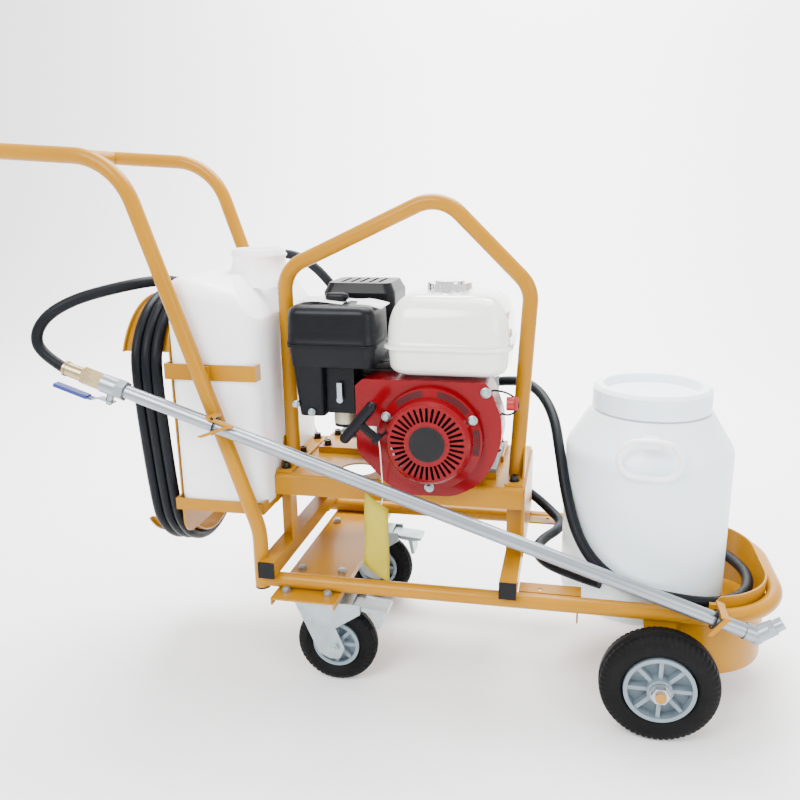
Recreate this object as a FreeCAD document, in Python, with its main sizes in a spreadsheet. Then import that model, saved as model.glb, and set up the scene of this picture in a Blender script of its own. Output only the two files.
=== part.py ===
"""Wheeled sprayer cart: a tubular frame on four wheels that carries a petrol engine
with a pump, a rear spray can, a front drum, a hose rack and a spray lance.

Frame: X along the cart (+X is the drum end), Y across it, Z up, millimetres.
The origin is on the ground, in the middle of the cart's outline.
"""
import FreeCAD, Part
import math
import os
import re
import Sketcher

V = FreeCAD.Vector
ROT = FreeCAD.Rotation
X_AXIS, Y_AXIS, Z_AXIS = V(1, 0, 0), V(0, 1, 0), V(0, 0, 1)

# ---------------------------------------------------------------- driving sizes
SIZES = {
    # tubular frame
    "tube_od": 25, "tube_wall": 2, "rail_z": 186, "rail_half": 170, "cart_front": 613,
    "rail_bend_r": 125, "handle_x": -213, "handle_kink_z": 272, "handle_top_x": -407,
    "handle_top_z": 861, "grip_x": -613, "grip_z": 875, "handle_low_r": 110,
    "handle_high_r": 105,
    # square tubes and deck
    "beam_side": 27, "beam_wall": 2, "beam_half": 192, "rear_beam_x": -196, "front_beam_x": 197,
    "sheet": 3, "deck_top": 345, "deck_lip": 36, "deck_near": -100, "deck_far": 135,
    "deck_rear": -211, "deck_front": 211, "deck_fold_r": 6, "drain_x": -75, "drain_y": -50,
    "drain_r": 32,
    # roll hoop
    "hoop_y": -39, "hoop_rear_x": -196, "hoop_front_x": 195, "hoop_rear_top": 684,
    "hoop_lean": 17, "hoop_front_top": 660, "hoop_peak_x": 67, "hoop_peak_z": 804,
    "hoop_r": 52, "hoop_peak_r": 62, "foot_plate": 5, "foot_half_x": 15, "foot_near": -92,
    "foot_far": 112, "bolt_d": 8, "bolt_play": 0.5,
    # engine
    "shaft_x": 66, "shaft_z": 432, "base_z": 356, "recoil_y": -163, "recoil_depth": 38,
    "recoil_r": 84, "shroud_back": -62, "shaft_d": 20, "flywheel_r": 76,
    "tank_x0": -13, "tank_x1": 189, "tank_y0": -131, "tank_y1": 55, "tank_low": 527,
    "tank_seam": 573, "tank_top": 652, "cap_x": 84, "cap_y": -46, "cap_r": 36,
    "cleaner_x0": -166, "cleaner_x1": -21, "cleaner_y0": -137, "cleaner_y1": -26,
    "cleaner_low": 541, "cleaner_seam": 577, "cleaner_top": 637,
    # rear can
    "can_x0": -365, "can_x1": -215, "can_half": 148, "can_low": 294, "can_top": 688,
    "can_wall": 3, "can_corner": 26, "neck_x": -255, "neck_r": 45, "neck_h": 28,
    "strap_low": 517, "strap_h": 26, "strap_gap": 0.5,
    # hose rack
    "rack_back_x": -372, "rack_tip_x": -452, "rack_top_z": 500, "rack_low_z": 305,
    "rack_top_r": 132, "rack_low_r": 108, "hose_d": 18,
    # drum
    "drum_x": 409, "drum_r": 134, "drum_low": 130, "drum_shoulder": 402, "drum_wall": 3,
    "lid_r": 94, "lid_top": 503, "lid_skirt": 454,
    # basket
    "basket_low": 80, "basket_top": 212, "basket_rear": 421,
    # casters
    "swivel_x": -130, "swivel_y": 147, "trail": 38, "caster_r": 69, "caster_w": 36,
    "caster_bolt_x": 35.5, "caster_bolt_y": 41, "caster_plate_half": 54, "fork_gap": 0.5,
    # front wheels
    "wheel_x": 428, "wheel_y": 209, "wheel_r": 89, "wheel_w": 48, "rim_r": 53, "axle_d": 16,
    "running_play": 0.05,
    # lance
    "lance_y": -198, "lance_od": 22, "lance_rear_x": -412, "lance_rear_z": 506,
    "lance_front_x": 543, "lance_front_z": 184,
    # casters' hubs and the drum's bails
    "caster_hub_r": 40, "caster_axle_d": 10, "bail_r": 4.5, "bail_top": 446, "bail_low": 389,
    "bail_half": 45, "drum_turn": -4,
    # recoil cover and exhaust box
    "slot_in": 36, "slot_out": 58, "badge_r": 29, "recoil_bolt_r": 77,
    "muffler_x0": -140, "muffler_x1": -16, "muffler_y0": -15, "muffler_y1": 95,
    "muffler_low": 560, "muffler_top": 660,
}

doc = FreeCAD.newDocument("SprayerCart")
sheet = doc.addObject("Spreadsheet::Sheet", "Dims")
for row, (alias, size) in enumerate(SIZES.items(), start=1):
    sheet.set("A%d" % row, alias)
    sheet.set("B%d" % row, str(size))
    sheet.setAlias("B%d" % row, alias)
doc.recompute()
ALIASES = re.compile(r"\b(" + "|".join(SIZES) + r")\b")


def bound(expression):
    """The expression with every size name pointing at the sheet."""
    return ALIASES.sub(r"Dims.\1", str(expression))


def val(expression):
    """The expression's present value."""
    return float(sheet.evalExpression(str(expression)))


def bind(obj, **expressions):
    """Bind properties; a double underscore in a name stands for a dot."""
    for prop, expression in expressions.items():
        obj.setExpression(prop.replace("__", "."), bound(expression))
    return obj


# ---------------------------------------------------------------- helpers
NODES = []


def node(obj, label):
    """Make the object a sub-part of the cart, written under this label."""
    obj.Label = label
    NODES.append(obj)
    return obj


def place(obj, x="0", y="0", z="0", turn=None):
    """Bind the object's position, after giving it a fixed turn."""
    if turn is not None:
        obj.Placement = FreeCAD.Placement(V(0, 0, 0), turn)
    return bind(obj, Placement__Base__x=x, Placement__Base__y=y, Placement__Base__z=z)


def box(x, y, z):
    """A block between two expressions on each axis."""
    obj = doc.addObject("Part::Box", "block")
    bind(obj, Length="(%s) - (%s)" % (x[1], x[0]), Width="(%s) - (%s)" % (y[1], y[0]),
         Height="(%s) - (%s)" % (z[1], z[0]))
    return place(obj, x[0], y[0], z[0])


TURNS = {"X": ROT(Y_AXIS, 90), "Y": ROT(X_AXIS, -90), "Z": ROT()}


def rod(axis, start, radius, length):
    """A cylinder from its start point along +X, +Y or +Z."""
    obj = doc.addObject("Part::Cylinder", "rod")
    bind(obj, Radius=radius, Height=length)
    return place(obj, *start, turn=TURNS[axis])


def cut(base, *tools):
    """The base less every tool."""
    obj = doc.addObject("Part::Cut", "cut")
    obj.Base = base
    obj.Tool = tools[0] if len(tools) == 1 else join(*tools)
    return obj


def join(*parts):
    """One solid from parts that touch."""
    obj = doc.addObject("Part::MultiFuse", "join")
    obj.Shapes = list(parts)
    obj.Refine = True
    return obj


def group(*parts):
    """Separate solids kept in one sub-part."""
    obj = doc.addObject("Part::Compound", "group")
    obj.Links = list(parts)
    return obj


def mirrored(obj, normal=Y_AXIS):
    """A copy on the other side of the cart, or of the plane through the origin."""
    copy = doc.addObject("Part::Mirroring", "mirror")
    copy.Source = obj
    copy.Normal = normal
    return copy


def free_solid(shape):
    """A shape made by Part's own functions, as an object of the document."""
    obj = doc.addObject("Part::Feature", "shape")
    obj.Shape = shape
    return obj


def origin_plane(body, role):
    return [f for f in body.Origin.OriginFeatures if f.Role == role][0]


def new_sketch(body, role, offset=None):
    """A sketch on one of the body's own origin planes, moved along its normal."""
    sketch = body.newObject("Sketcher::SketchObject", "sketch")
    sketch.AttachmentSupport = (origin_plane(body, role), [""])
    sketch.MapMode = "FlatFace"
    if offset is not None:
        bind(sketch, AttachmentOffset__Base__z=offset)
    return sketch


def pin(sketch, geometry, point, x, y):
    """Hold a sketch point at two bound distances from the sketch's origin."""
    for kind, expression in (("DistanceX", x), ("DistanceY", y)):
        index = sketch.addConstraint(
            Sketcher.Constraint(kind, -1, 1, geometry, point, val(expression)))
        sketch.setExpression("Constraints[%d]" % index, bound(expression))


def add_circle(sketch, x, y, radius):
    geometry = sketch.addGeometry(Part.Circle(V(val(x), val(y), 0), Z_AXIS, val(radius)))
    index = sketch.addConstraint(Sketcher.Constraint("Radius", geometry, val(radius)))
    sketch.setExpression("Constraints[%d]" % index, bound(radius))
    pin(sketch, geometry, 3, x, y)


def add_path(sketch, points, radii, closed):
    """Lines through bound points, with a tangent arc at each point whose radius isn't None."""
    spots = [V(val(x), val(y), 0) for x, y in points]
    count = len(spots)
    corners = range(count) if closed else range(1, count - 1)
    arcs = {}
    for i in corners:
        if radii[i] is None:
            continue
        back = (spots[i - 1] - spots[i]).normalize()
        ahead = (spots[(i + 1) % count] - spots[i]).normalize()
        half = back.getAngle(ahead) / 2
        reach = val(radii[i]) / math.tan(half)
        centre = spots[i] + (back + ahead).normalize() * (val(radii[i]) / math.sin(half))
        arcs[i] = (spots[i] + back * reach, spots[i] + ahead * reach, centre)
    lines = []
    for i in range(count if closed else count - 1):
        j = (i + 1) % count
        start = arcs[i][1] if i in arcs else spots[i]
        end = arcs[j][0] if j in arcs else spots[j]
        lines.append(sketch.addGeometry(Part.LineSegment(start, end)))
    for i in corners:
        before, after = lines[i - 1], lines[i % len(lines)]
        if i not in arcs:
            sketch.addConstraint(Sketcher.Constraint("Coincident", before, 2, after, 1))
            pin(sketch, after, 1, *points[i])
            continue
        start, end, centre = arcs[i]
        middle = centre + (spots[i] - centre).normalize() * val(radii[i])
        arc = sketch.addGeometry(Part.Arc(start, middle, end))
        first = 1 if (sketch.getPoint(arc, 1) - start).Length < 1e-6 else 2
        sketch.addConstraint(Sketcher.Constraint("Tangent", before, 2, arc, first))
        sketch.addConstraint(Sketcher.Constraint("Tangent", after, 1, arc, 3 - first))
        index = sketch.addConstraint(Sketcher.Constraint("Radius", arc, val(radii[i])))
        sketch.setExpression("Constraints[%d]" % index, bound(radii[i]))
        corner = sketch.addGeometry(Part.Point(spots[i]), True)
        sketch.addConstraint(Sketcher.Constraint("PointOnObject", corner, 1, before))
        sketch.addConstraint(Sketcher.Constraint("PointOnObject", corner, 1, after))
        pin(sketch, corner, 1, *points[i])
    if not closed:
        pin(sketch, lines[0], 1, *points[0])
        pin(sketch, lines[-1], 2, *points[-1])


def bent_tube(role, points, radii, section_role, section_centre, section_offset,
              od="tube_od", wall="tube_wall"):
    """A tube, or a bar with no wall, swept along a flat path square to its first run."""
    body = doc.addObject("PartDesign::Body", "bent_tube")
    path = new_sketch(body, role)
    add_path(path, points, radii, closed=False)
    section = new_sketch(body, section_role, section_offset)
    add_circle(section, *section_centre, "%s / 2" % od)
    if wall is not None:
        add_circle(section, *section_centre, "%s / 2 - %s" % (od, wall))
    doc.recompute()
    pipe = body.newObject("PartDesign::AdditivePipe", "tube")
    pipe.Profile = section
    pipe.Spine = path
    return body


def padded(role, points, radii, start, length, holes=()):
    """A closed outline with round holes, padded along its plane's normal."""
    body = doc.addObject("PartDesign::Body", "plate")
    sketch = new_sketch(body, role, start)
    add_path(sketch, points, radii, closed=True)
    for hole in holes:
        add_circle(sketch, *hole)
    pad = body.newObject("PartDesign::Pad", "pad")
    pad.Profile = sketch
    bind(pad, Length=length)
    return body


def side_pad(points, radii, near, far, holes=()):
    """An outline in the X-Z plane, padded from its near Y to its far Y."""
    return padded("XZ_Plane", points, radii, "-(%s)" % far, "(%s) - (%s)" % (far, near), holes)


def revolved(points, radii=None):
    """A closed outline of (radius, height) points turned about the body's Z axis."""
    body = doc.addObject("PartDesign::Body", "turned")
    sketch = new_sketch(body, "XZ_Plane")
    add_path(sketch, points, radii or [None] * len(points), closed=True)
    turn = body.newObject("PartDesign::Revolution", "turn")
    turn.Profile = sketch
    turn.ReferenceAxis = (sketch, ["V_Axis"])
    turn.Angle = 360
    return body


def rounded_wire(x0, x1, y0, y1, z, r):
    """A level rectangle with round corners."""
    pts = [V(x0 + r, y0, z), V(x1 - r, y0, z), V(x1, y0 + r, z), V(x1, y1 - r, z),
           V(x1 - r, y1, z), V(x0 + r, y1, z), V(x0, y1 - r, z), V(x0, y0 + r, z)]
    centres = [V(x1 - r, y0 + r, z), V(x1 - r, y1 - r, z), V(x0 + r, y1 - r, z),
               V(x0 + r, y0 + r, z)]
    edges = []
    for i, centre in enumerate(centres):
        a, b, c = pts[2 * i], pts[2 * i + 1], pts[(2 * i + 2) % 8]
        edges.append(Part.LineSegment(a, b).toShape())
        out = ((b + c) * 0.5 - centre).normalize() * r
        edges.append(Part.Arc(b, centre + out, c).toShape())
    return Part.Wire(edges)


def lofted(sections):
    """A solid through level rounded rectangles (x0, x1, y0, y1, z, corner radius)."""
    wires = [rounded_wire(*section) for section in sections]
    return Part.makeLoft(wires, True, True)


def fillet_path(points):
    """Straight runs joined by tangent arcs, each as large as its two runs allow."""
    spots = [V(*p) for p in points]
    edges, radii = [], []
    start = spots[0]
    for i in range(1, len(spots) - 1):
        back = spots[i - 1] - spots[i]
        ahead = spots[i + 1] - spots[i]
        half = back.getAngle(ahead) / 2
        reach = 0.45 * min(back.Length, ahead.Length)
        radius = reach * math.tan(half)
        back.normalize()
        ahead.normalize()
        centre = spots[i] + (back + ahead).normalize() * (radius / math.sin(half))
        entry, leave = spots[i] + back * reach, spots[i] + ahead * reach
        middle = centre + (spots[i] - centre).normalize() * radius
        edges.append(Part.LineSegment(start, entry).toShape())
        edges.append(Part.Arc(entry, middle, leave).toShape())
        radii.append(radius)
        start = leave
    edges.append(Part.LineSegment(start, spots[-1]).toShape())
    return Part.Wire(edges), radii


def cord_tube(label, points, diameter):
    """A free cord's solid, with its radii and volume printed."""
    wire, radii = fillet_path(points)
    tangent = V(*points[1]) - V(*points[0])
    ring = Part.Wire(Part.Circle(V(*points[0]), tangent, diameter / 2).toShape())
    solid = wire.makePipeShell([ring], True, False)
    expected = math.pi * diameter ** 2 / 4 * wire.Length
    print("%s: length %.0f, smallest radius %.0f, radii %s, volume ratio %.4f" % (
        label, wire.Length, min(radii), [round(r) for r in radii], solid.Volume / expected))
    return free_solid(solid)


# ---------------------------------------------------------------- tubular frame
def side_rails():
    """Straight rails from the handle tubes to the front bend, coped to the handle tubes."""
    start = ("handle_x", "-rail_half", "rail_z")
    length = "cart_front - rail_bend_r - 8 - handle_x"
    outer = rod("X", start, "tube_od / 2", length)
    bore = rod("X", start, "tube_od / 2 - tube_wall", length)
    post = rod("Z", ("handle_x", "-rail_half", "rail_z - tube_od"), "tube_od / 2", "2 * tube_od")
    near = cut(outer, bore, post)
    return group(near, mirrored(near))


def front_rail_bend():
    """The rail's front loop: two round corners and a straight front."""
    start = "cart_front - rail_bend_r - 8"
    points = [(start, "-rail_half"), ("cart_front", "-rail_half"),
              ("cart_front", "rail_half"), (start, "rail_half")]
    body = bent_tube("XY_Plane", points, [None, "rail_bend_r", "rail_bend_r", None],
                     "YZ_Plane", ("-rail_half", "0"), start)
    return place(body, z="rail_z")


def mitre_block(side):
    """A block on one side of the near grip corner's mitre plane."""
    obj = doc.addObject("Part::Box", "mitre")
    bind(obj, Length="4 * tube_od", Width="2 * tube_od", Height="4 * tube_od")
    slide = "2 * tube_od * 0.70710678"
    step = 0 if side > 0 else 1
    shift = "%d * 2 * tube_od * 0.70710678" % step
    return place(obj, "grip_x - %s + %s" % (slide, shift),
                 "-rail_half - %s - %s" % (slide, shift), "grip_z - 2 * tube_od",
                 turn=ROT(Z_AXIS, 45))


def handle_frame():
    """Two bent side tubes and the grip bar, mitred where they meet."""
    points = [("handle_x", "rail_z - tube_od / 2"), ("handle_x", "handle_kink_z"),
              ("handle_top_x", "handle_top_z"), ("grip_x - tube_od", "grip_z + 1.7")]
    body = bent_tube("XZ_Plane", points, [None, "handle_low_r", "handle_high_r", None],
                     "XY_Plane", ("handle_x", "0"), "rail_z - tube_od / 2")
    place(body, y="-rail_half")
    near = cut(body, mitre_block(1))
    start = ("grip_x", "-rail_half - tube_od", "grip_z")
    length = "2 * rail_half + 2 * tube_od"
    bar = cut(rod("Y", start, "tube_od / 2", length),
              rod("Y", start, "tube_od / 2 - tube_wall", length))
    trimmed = cut(bar, mitre_block(-1), mirrored(mitre_block(-1)))
    return near, trimmed


def square_tube(axis, x, y, z, start, end):
    """A square tube centred on two of x, y, z and running between two expressions."""
    half = "beam_side / 2"
    inner = "beam_side / 2 - beam_wall"
    shapes = []
    for reach in (half, inner):
        spans = {"X": ("(%s) - %s" % (x, reach), "(%s) + %s" % (x, reach)),
                 "Y": ("(%s) - %s" % (y, reach), "(%s) + %s" % (y, reach)),
                 "Z": ("(%s) - %s" % (z, reach), "(%s) + %s" % (z, reach))}
        spans[axis] = (start, end)
        shapes.append(box(spans["X"], spans["Y"], spans["Z"]))
    return cut(*shapes)


BEAM_Z = "rail_z + tube_od / 2 + beam_side / 2"
BEAM_TOP = "rail_z + tube_od / 2 + beam_side"
POST_NEAR = "deck_near + sheet + beam_side / 2"
POST_FAR = "deck_far - sheet - beam_side / 2"
FOOT_BOLTS = ("-76", "12", "98")
STRIP_BOLTS = (("-158", "42"), ("-158", "108"), ("154", "42"), ("154", "108"))


def square_tubes():
    """Two crossbeams on the rails and the four posts that carry the deck."""
    tubes = []
    for x in ("rear_beam_x", "front_beam_x"):
        beam = square_tube("Y", x, "0", BEAM_Z, "-beam_half", "beam_half")
        if x == "rear_beam_x":
            post = rod("Z", ("handle_x", "-rail_half", "rail_z"), "tube_od / 2 + 0.05",
                       "2 * beam_side + tube_od")
            beam = cut(beam, post, mirrored(post))
        tubes.append(beam)
        for y in (POST_NEAR, POST_FAR):
            tubes.append(square_tube("Z", x, y, "0", BEAM_TOP, "deck_top - sheet"))
    return group(*tubes)


def tube_end_caps():
    """Moulded plugs in the crossbeams' ends and the handle tubes' feet."""
    caps = []
    for x in ("rear_beam_x", "front_beam_x"):
        reach = "beam_side / 2 - beam_wall"
        low, high = "(%s) - (%s)" % (BEAM_Z, reach), "(%s) + (%s)" % (BEAM_Z, reach)
        plug = box(("%s - (%s)" % (x, reach), "%s + %s" % (x, reach)),
                   ("-beam_half", "-beam_half + 10"), (low, high))
        face = box(("%s - beam_side / 2" % x, "%s + beam_side / 2" % x),
                   ("-beam_half - 4", "-beam_half"),
                   (BEAM_TOP + " - beam_side", BEAM_TOP))
        cap = join(plug, face)
        caps += [cap, mirrored(cap)]
    foot = join(rod("Z", ("handle_x", "-rail_half", "rail_z - tube_od / 2 - 3"),
                    "tube_od / 2", "3"),
                rod("Z", ("handle_x", "-rail_half", "rail_z - tube_od / 2"),
                    "tube_od / 2 - tube_wall", "10"))
    return group(*caps, foot, mirrored(foot))


def engine_deck():
    """A folded sheet deck with a lip each side, a drain hole and a front end panel."""
    low = "deck_top - deck_lip"
    under = "deck_top - sheet"
    points = [("deck_near", low), ("deck_near", "deck_top"), ("deck_far", "deck_top"),
              ("deck_far", low), ("deck_far - sheet", low), ("deck_far - sheet", under),
              ("deck_near + sheet", under), ("deck_near + sheet", low)]
    radii = [None, "deck_fold_r", "deck_fold_r", None, None, None, None, None]
    sheet_body = padded("YZ_Plane", points, radii, "deck_rear", "deck_front - deck_rear")
    drain = rod("Z", ("drain_x", "drain_y", "deck_top - 2 * sheet"), "drain_r", "3 * sheet")
    panel = padded("YZ_Plane", [("deck_near + 2", BEAM_TOP), ("deck_near + 2", "deck_top - 4"),
                                ("deck_far - 2", "deck_top - 4"), ("deck_far - 2", BEAM_TOP)],
                   [None, "12", "12", None], "deck_front", "sheet",
                   holes=[("deck_near + 40", "deck_top - 60", "9")])
    holes = bolt_holes("deck_top - 2 * sheet", "4 * sheet")
    return [cut(sheet_body, drain, *holes), panel]


def bolt_holes(low, height):
    """Clearance rods through the deck and strips at every foot and strip bolt."""
    spots = [(x, y) for x in ("hoop_rear_x", "hoop_front_x") for y in FOOT_BOLTS]
    return [rod("Z", (x, y, low), "bolt_d / 2 + 0.2", height)
            for x, y in spots + list(STRIP_BOLTS)]


def engine_strips():
    """Two shallow raised strips between the deck and the engine."""
    rear = box(("-172", "168"), ("28", "122"), ("deck_top", "base_z"))
    hollow = box(("-169", "165"), ("31", "119"), ("deck_top", "base_z - sheet"))
    front = box(("-28", "164"), ("-61.5", "20"), ("deck_top", "base_z"))
    front_hollow = box(("-25", "161"), ("-58.5", "17"), ("deck_top", "base_z - sheet"))
    holes = bolt_holes("base_z - 2 * sheet", "3 * sheet")
    return [cut(rear, hollow, *holes), cut(front, front_hollow)]


def roll_hoop():
    """A bent guard hoop over the engine on two foot strips with gussets."""
    foot_top = "deck_top + foot_plate"
    points = [("hoop_rear_x", foot_top), ("hoop_rear_x", "hoop_rear_top"),
              ("hoop_peak_x", "hoop_peak_z"), ("hoop_front_x + hoop_lean", "hoop_front_top"),
              ("hoop_front_x", foot_top)]
    body = bent_tube("XZ_Plane", points, [None, "hoop_r", "hoop_peak_r", "hoop_r", None],
                     "XY_Plane", ("hoop_rear_x", "0"), foot_top)
    place(body, y="hoop_y")
    floor = box(("hoop_rear_x - 30", "hoop_front_x + 30"), ("hoop_y - 20", "hoop_y + 20"),
                ("deck_top - 20", foot_top))
    parts = [cut(body, floor)]
    for x, side in (("hoop_rear_x", -1), ("hoop_front_x", 1)):
        strip = box(("%s - foot_half_x" % x, "%s + foot_half_x" % x),
                    ("foot_near", "foot_far"), ("deck_top", foot_top))
        holes = [rod("Z", (x, y, "deck_top - 1"), "bolt_d / 2 + bolt_play", "foot_plate + 2")
                 for y in FOOT_BOLTS]
        parts.append(cut(strip, *holes))
        gusset = padded("YZ_Plane",
                        [("hoop_y - tube_od / 2 - 14", foot_top), ("hoop_y + tube_od / 2 + 14", foot_top),
                         ("hoop_y + tube_od / 2 - 4", "deck_top + 52"),
                         ("hoop_y - tube_od / 2 + 4", "deck_top + 52")],
                        [None, None, None, None],
                        "%s + %d * tube_od / 2 - %d" % (x, side, 0 if side > 0 else 3), "3")
        parts.append(gusset)
    return group(*parts)


def bolt_up(x, y, seat, head_r="6.5", head_h="8", shank=18):
    """A socket-head bolt with a washer, standing on a seat height."""
    washer = rod("Z", (x, y, seat), "8.5", "1.5")
    head = rod("Z", (x, y, seat + " + 1.5"), head_r, head_h)
    socket = doc.addObject("Part::Prism", "socket")
    socket.Polygon = 6
    socket.Circumradius = 3.4
    socket.Height = 5
    place(socket, x, y, "%s + 1.5 + %s - 4" % (seat, head_h))
    stem = rod("Z", (x, y, "%s - %d" % (seat, shank)), "bolt_d / 2", "%d + 1" % shank)
    return cut(join(washer, head, stem), socket)


def hex_nut(x, y, seat, thickness=7, across=13.0):
    """A hexagon nut with a domed collar, its base on a seat height."""
    nut = doc.addObject("Part::Prism", "nut")
    nut.Polygon = 6
    nut.Circumradius = across / math.sqrt(3)
    nut.Height = thickness
    place(nut, x, y, seat)
    collar = rod("Z", (x, y, "%s + %d" % (seat, thickness)), "5", "2")
    return join(nut, collar)


def frame_bolts():
    """Bolts of the hoop feet and the engine strips, and the casters' bolts and nuts."""
    parts = []
    for x in ("hoop_rear_x", "hoop_front_x"):
        parts += [bolt_up(x, y, "deck_top + foot_plate", shank=8) for y in FOOT_BOLTS]
    parts += [bolt_up(x, y, "base_z", shank=14) for x, y in STRIP_BOLTS]
    for x in ("swivel_x - caster_bolt_x", "swivel_x + caster_bolt_x"):
        for y in ("swivel_y - caster_bolt_y", "swivel_y + caster_bolt_y"):
            seat = PLATE_TOP
            nut = hex_nut(x, "-(%s)" % y, seat)
            stud = rod("Z", (x, "-(%s)" % y, "%s - sheet - 8" % seat), "bolt_d / 2", "sheet + 8")
            head = rod("Z", (x, "-(%s)" % y, "%s - sheet - 10" % seat), "6.5", "5.9")
            bolt = join(nut, stud, head)
            parts += [bolt, mirrored(bolt)]
    return group(*parts)


PLATE_TOP = "rail_z - tube_od / 2"
TOP_PLATE = "rail_z - tube_od / 2 - sheet - 4"


def caster_plate():
    """A channel across under the rails that the casters bolt to."""
    half = "swivel_y + 66"
    top = box(("swivel_x - caster_plate_half", "swivel_x + caster_plate_half"),
              ("-(%s)" % half, half), (PLATE_TOP + " - sheet", PLATE_TOP))
    lips = []
    for x in ("swivel_x - caster_plate_half", "swivel_x + caster_plate_half - sheet"):
        lips.append(box((x, x + " + sheet"), ("-(%s)" % half, half),
                        (PLATE_TOP + " - 12", PLATE_TOP)))
    holes = []
    for x in ("swivel_x - caster_bolt_x", "swivel_x + caster_bolt_x"):
        for side in (-1, 1):
            for y in ("swivel_y - caster_bolt_y", "swivel_y + caster_bolt_y"):
                holes.append(rod("Z", (x, "%d * (%s)" % (side, y), PLATE_TOP + " - 2 * sheet"),
                                 "bolt_d / 2 + bolt_play", "3 * sheet"))
    return cut(join(top, *lips), *holes)


# ---------------------------------------------------------------- drum and its basket
def drum_supports():
    """Two gussets behind the drum, the floor that the drum stands on and the axle's ears."""
    gusset = box(("front_beam_x + beam_side / 2 + 1", "drum_x - drum_r + 34"),
                 ("-rail_half + tube_od / 2 + 1", "-rail_half + tube_od / 2 + 32"),
                 ("rail_z + 6", "rail_z + 6 + sheet"))
    clear = rod("Z", ("drum_x", "0", "rail_z - 10"), "drum_r + 5", "40")
    hole = rod("Z", ("245", "-rail_half + tube_od / 2 + 12", "rail_z"), "4", "30")
    gusset = cut(gusset, clear, hole)
    front = "cart_front - tube_od / 2 - sheet - 0.5"
    floor = padded("XY_Plane", [("drum_x - 105", "-88"), (front, "-88"), (front, "88"),
                                ("drum_x - 105", "88")],
                   [None, "60", "60", None], "drum_low - 0.4 - sheet", "sheet")
    rib = box(("drum_x - 105", "drum_x - 105 + sheet"), ("-88", "88"),
              ("drum_low - 22", "drum_low - 0.4 - sheet"))
    saddle = box(("wheel_x - 12", "wheel_x + 12"), ("-40", "40"),
                 ("wheel_r + axle_d / 2 + 0.1", "drum_low - 0.4 - sheet"))
    parts = [gusset, mirrored(gusset), join(floor, rib, saddle)]
    for side in (-1, 1):
        ear = side_pad([("wheel_x - 16", "wheel_r - 16"), ("wheel_x + 16", "wheel_r - 16"),
                        ("wheel_x + 26", "rail_z"), ("wheel_x - 26", "rail_z")],
                       ["14", "14", None, None],
                       "%d * (rail_half - 2) - sheet" % side, "%d * (rail_half - 2) + sheet" % side)
        bore = rod("Y", ("wheel_x", "%d * rail_half - 12" % side, "wheel_r"),
                   "axle_d / 2 + 0.1", "24")
        rail = rod("X", ("wheel_x - 60", "%d * rail_half" % side, "rail_z"),
                   "tube_od / 2 + 0.05", "120")
        parts.append(cut(ear, bore, rail))
    return group(*parts)


BASKET_OUT = "rail_half - tube_od / 2 - 0.2"


def front_basket():
    """A U-shaped sheet wall inside the front loop, with a sloped top at its rear ends."""
    front = "cart_front - tube_od / 2 - 0.2"
    inner = "(%s) - sheet" % BASKET_OUT
    front_in = "(%s) - sheet" % front
    turn = "rail_bend_r - tube_od / 2"
    points = [("basket_rear", "-(%s)" % BASKET_OUT), (front, "-(%s)" % BASKET_OUT),
              (front, BASKET_OUT), ("basket_rear", BASKET_OUT), ("basket_rear", inner),
              (front_in, inner), (front_in, "-(%s)" % inner), ("basket_rear", "-(%s)" % inner)]
    radii = [None, turn, turn, None, None, turn + " - sheet", turn + " - sheet", None]
    wall = padded("XY_Plane", points, radii, "basket_low", "basket_top - basket_low")
    slope = padded("XZ_Plane", [("basket_rear - 5", "rail_z"), ("basket_rear + 74", "rail_z"),
                                ("basket_rear + 98", "basket_top + 5"),
                                ("basket_rear - 5", "basket_top + 5")],
                   [None] * 4, "-rail_half - 20", "2 * rail_half + 40")
    notch = box(("basket_rear - 5", "wheel_x + axle_d / 2 + 2"), ("-rail_half", "rail_half"),
                ("basket_low - 5", "wheel_r + axle_d / 2 + 2"))
    return cut(wall, slope, notch)


def drum_body():
    """A blow-moulded drum: a turned hollow shell with a narrower neck."""
    outer = [("0", "0"), ("drum_r", "0"), ("drum_r", "drum_shoulder - drum_low"),
             ("lid_r + 3", "lid_skirt - drum_low + 8"), ("lid_r - 5", "lid_skirt - drum_low + 8"),
             ("lid_r - 5", "lid_top - drum_low - 8")]
    inner = [("lid_r - 5 - drum_wall", "lid_top - drum_low - 8"),
             ("lid_r - 5 - drum_wall", "lid_skirt - drum_low + 8 - drum_wall"),
             ("lid_r + 3 - 1.4 * drum_wall", "lid_skirt - drum_low + 8 - drum_wall"),
             ("drum_r - drum_wall", "drum_shoulder - drum_low - 1"),
             ("drum_r - drum_wall", "drum_wall"), ("0", "drum_wall")]
    radii = [None, "24", "34", None, None, None, None, None, None, "31", "21", None]
    shell = place(revolved(outer + inner, radii), "drum_x", "0", "drum_low")
    lug = drum_lugs()
    return join(shell, around_drum(join(lug, mirrored(lug))))


def drum_lid():
    """A screw lid with a raised rim round a recessed centre."""
    wall = 2.5
    points = [("0", "lid_top - lid_skirt - 14"), ("lid_r - 20", "lid_top - lid_skirt - 14"),
              ("lid_r - 16", "lid_top - lid_skirt"), ("lid_r - 5", "lid_top - lid_skirt"),
              ("lid_r", "lid_top - lid_skirt - 6"), ("lid_r", "11"),
              ("lid_r - %g" % wall, "11"), ("lid_r - %g" % wall, "lid_top - lid_skirt - 7"),
              ("lid_r - 14.5", "lid_top - lid_skirt - %g" % wall),
              ("lid_r - 18.4", "lid_top - lid_skirt - 14 - %g" % wall),
              ("0", "lid_top - lid_skirt - 14 - %g" % wall)]
    return place(revolved(points), "drum_x", "0", "lid_skirt")


def offset_rod(u, y, v, radius, length, turn="90 deg"):
    """A rod in the lance's frame: along the lance, or square to it with no turn."""
    obj = doc.addObject("Part::Cylinder", "rod")
    bind(obj, Radius=radius, Height=length)
    return on_lance(obj, u, y, v, turn)


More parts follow.
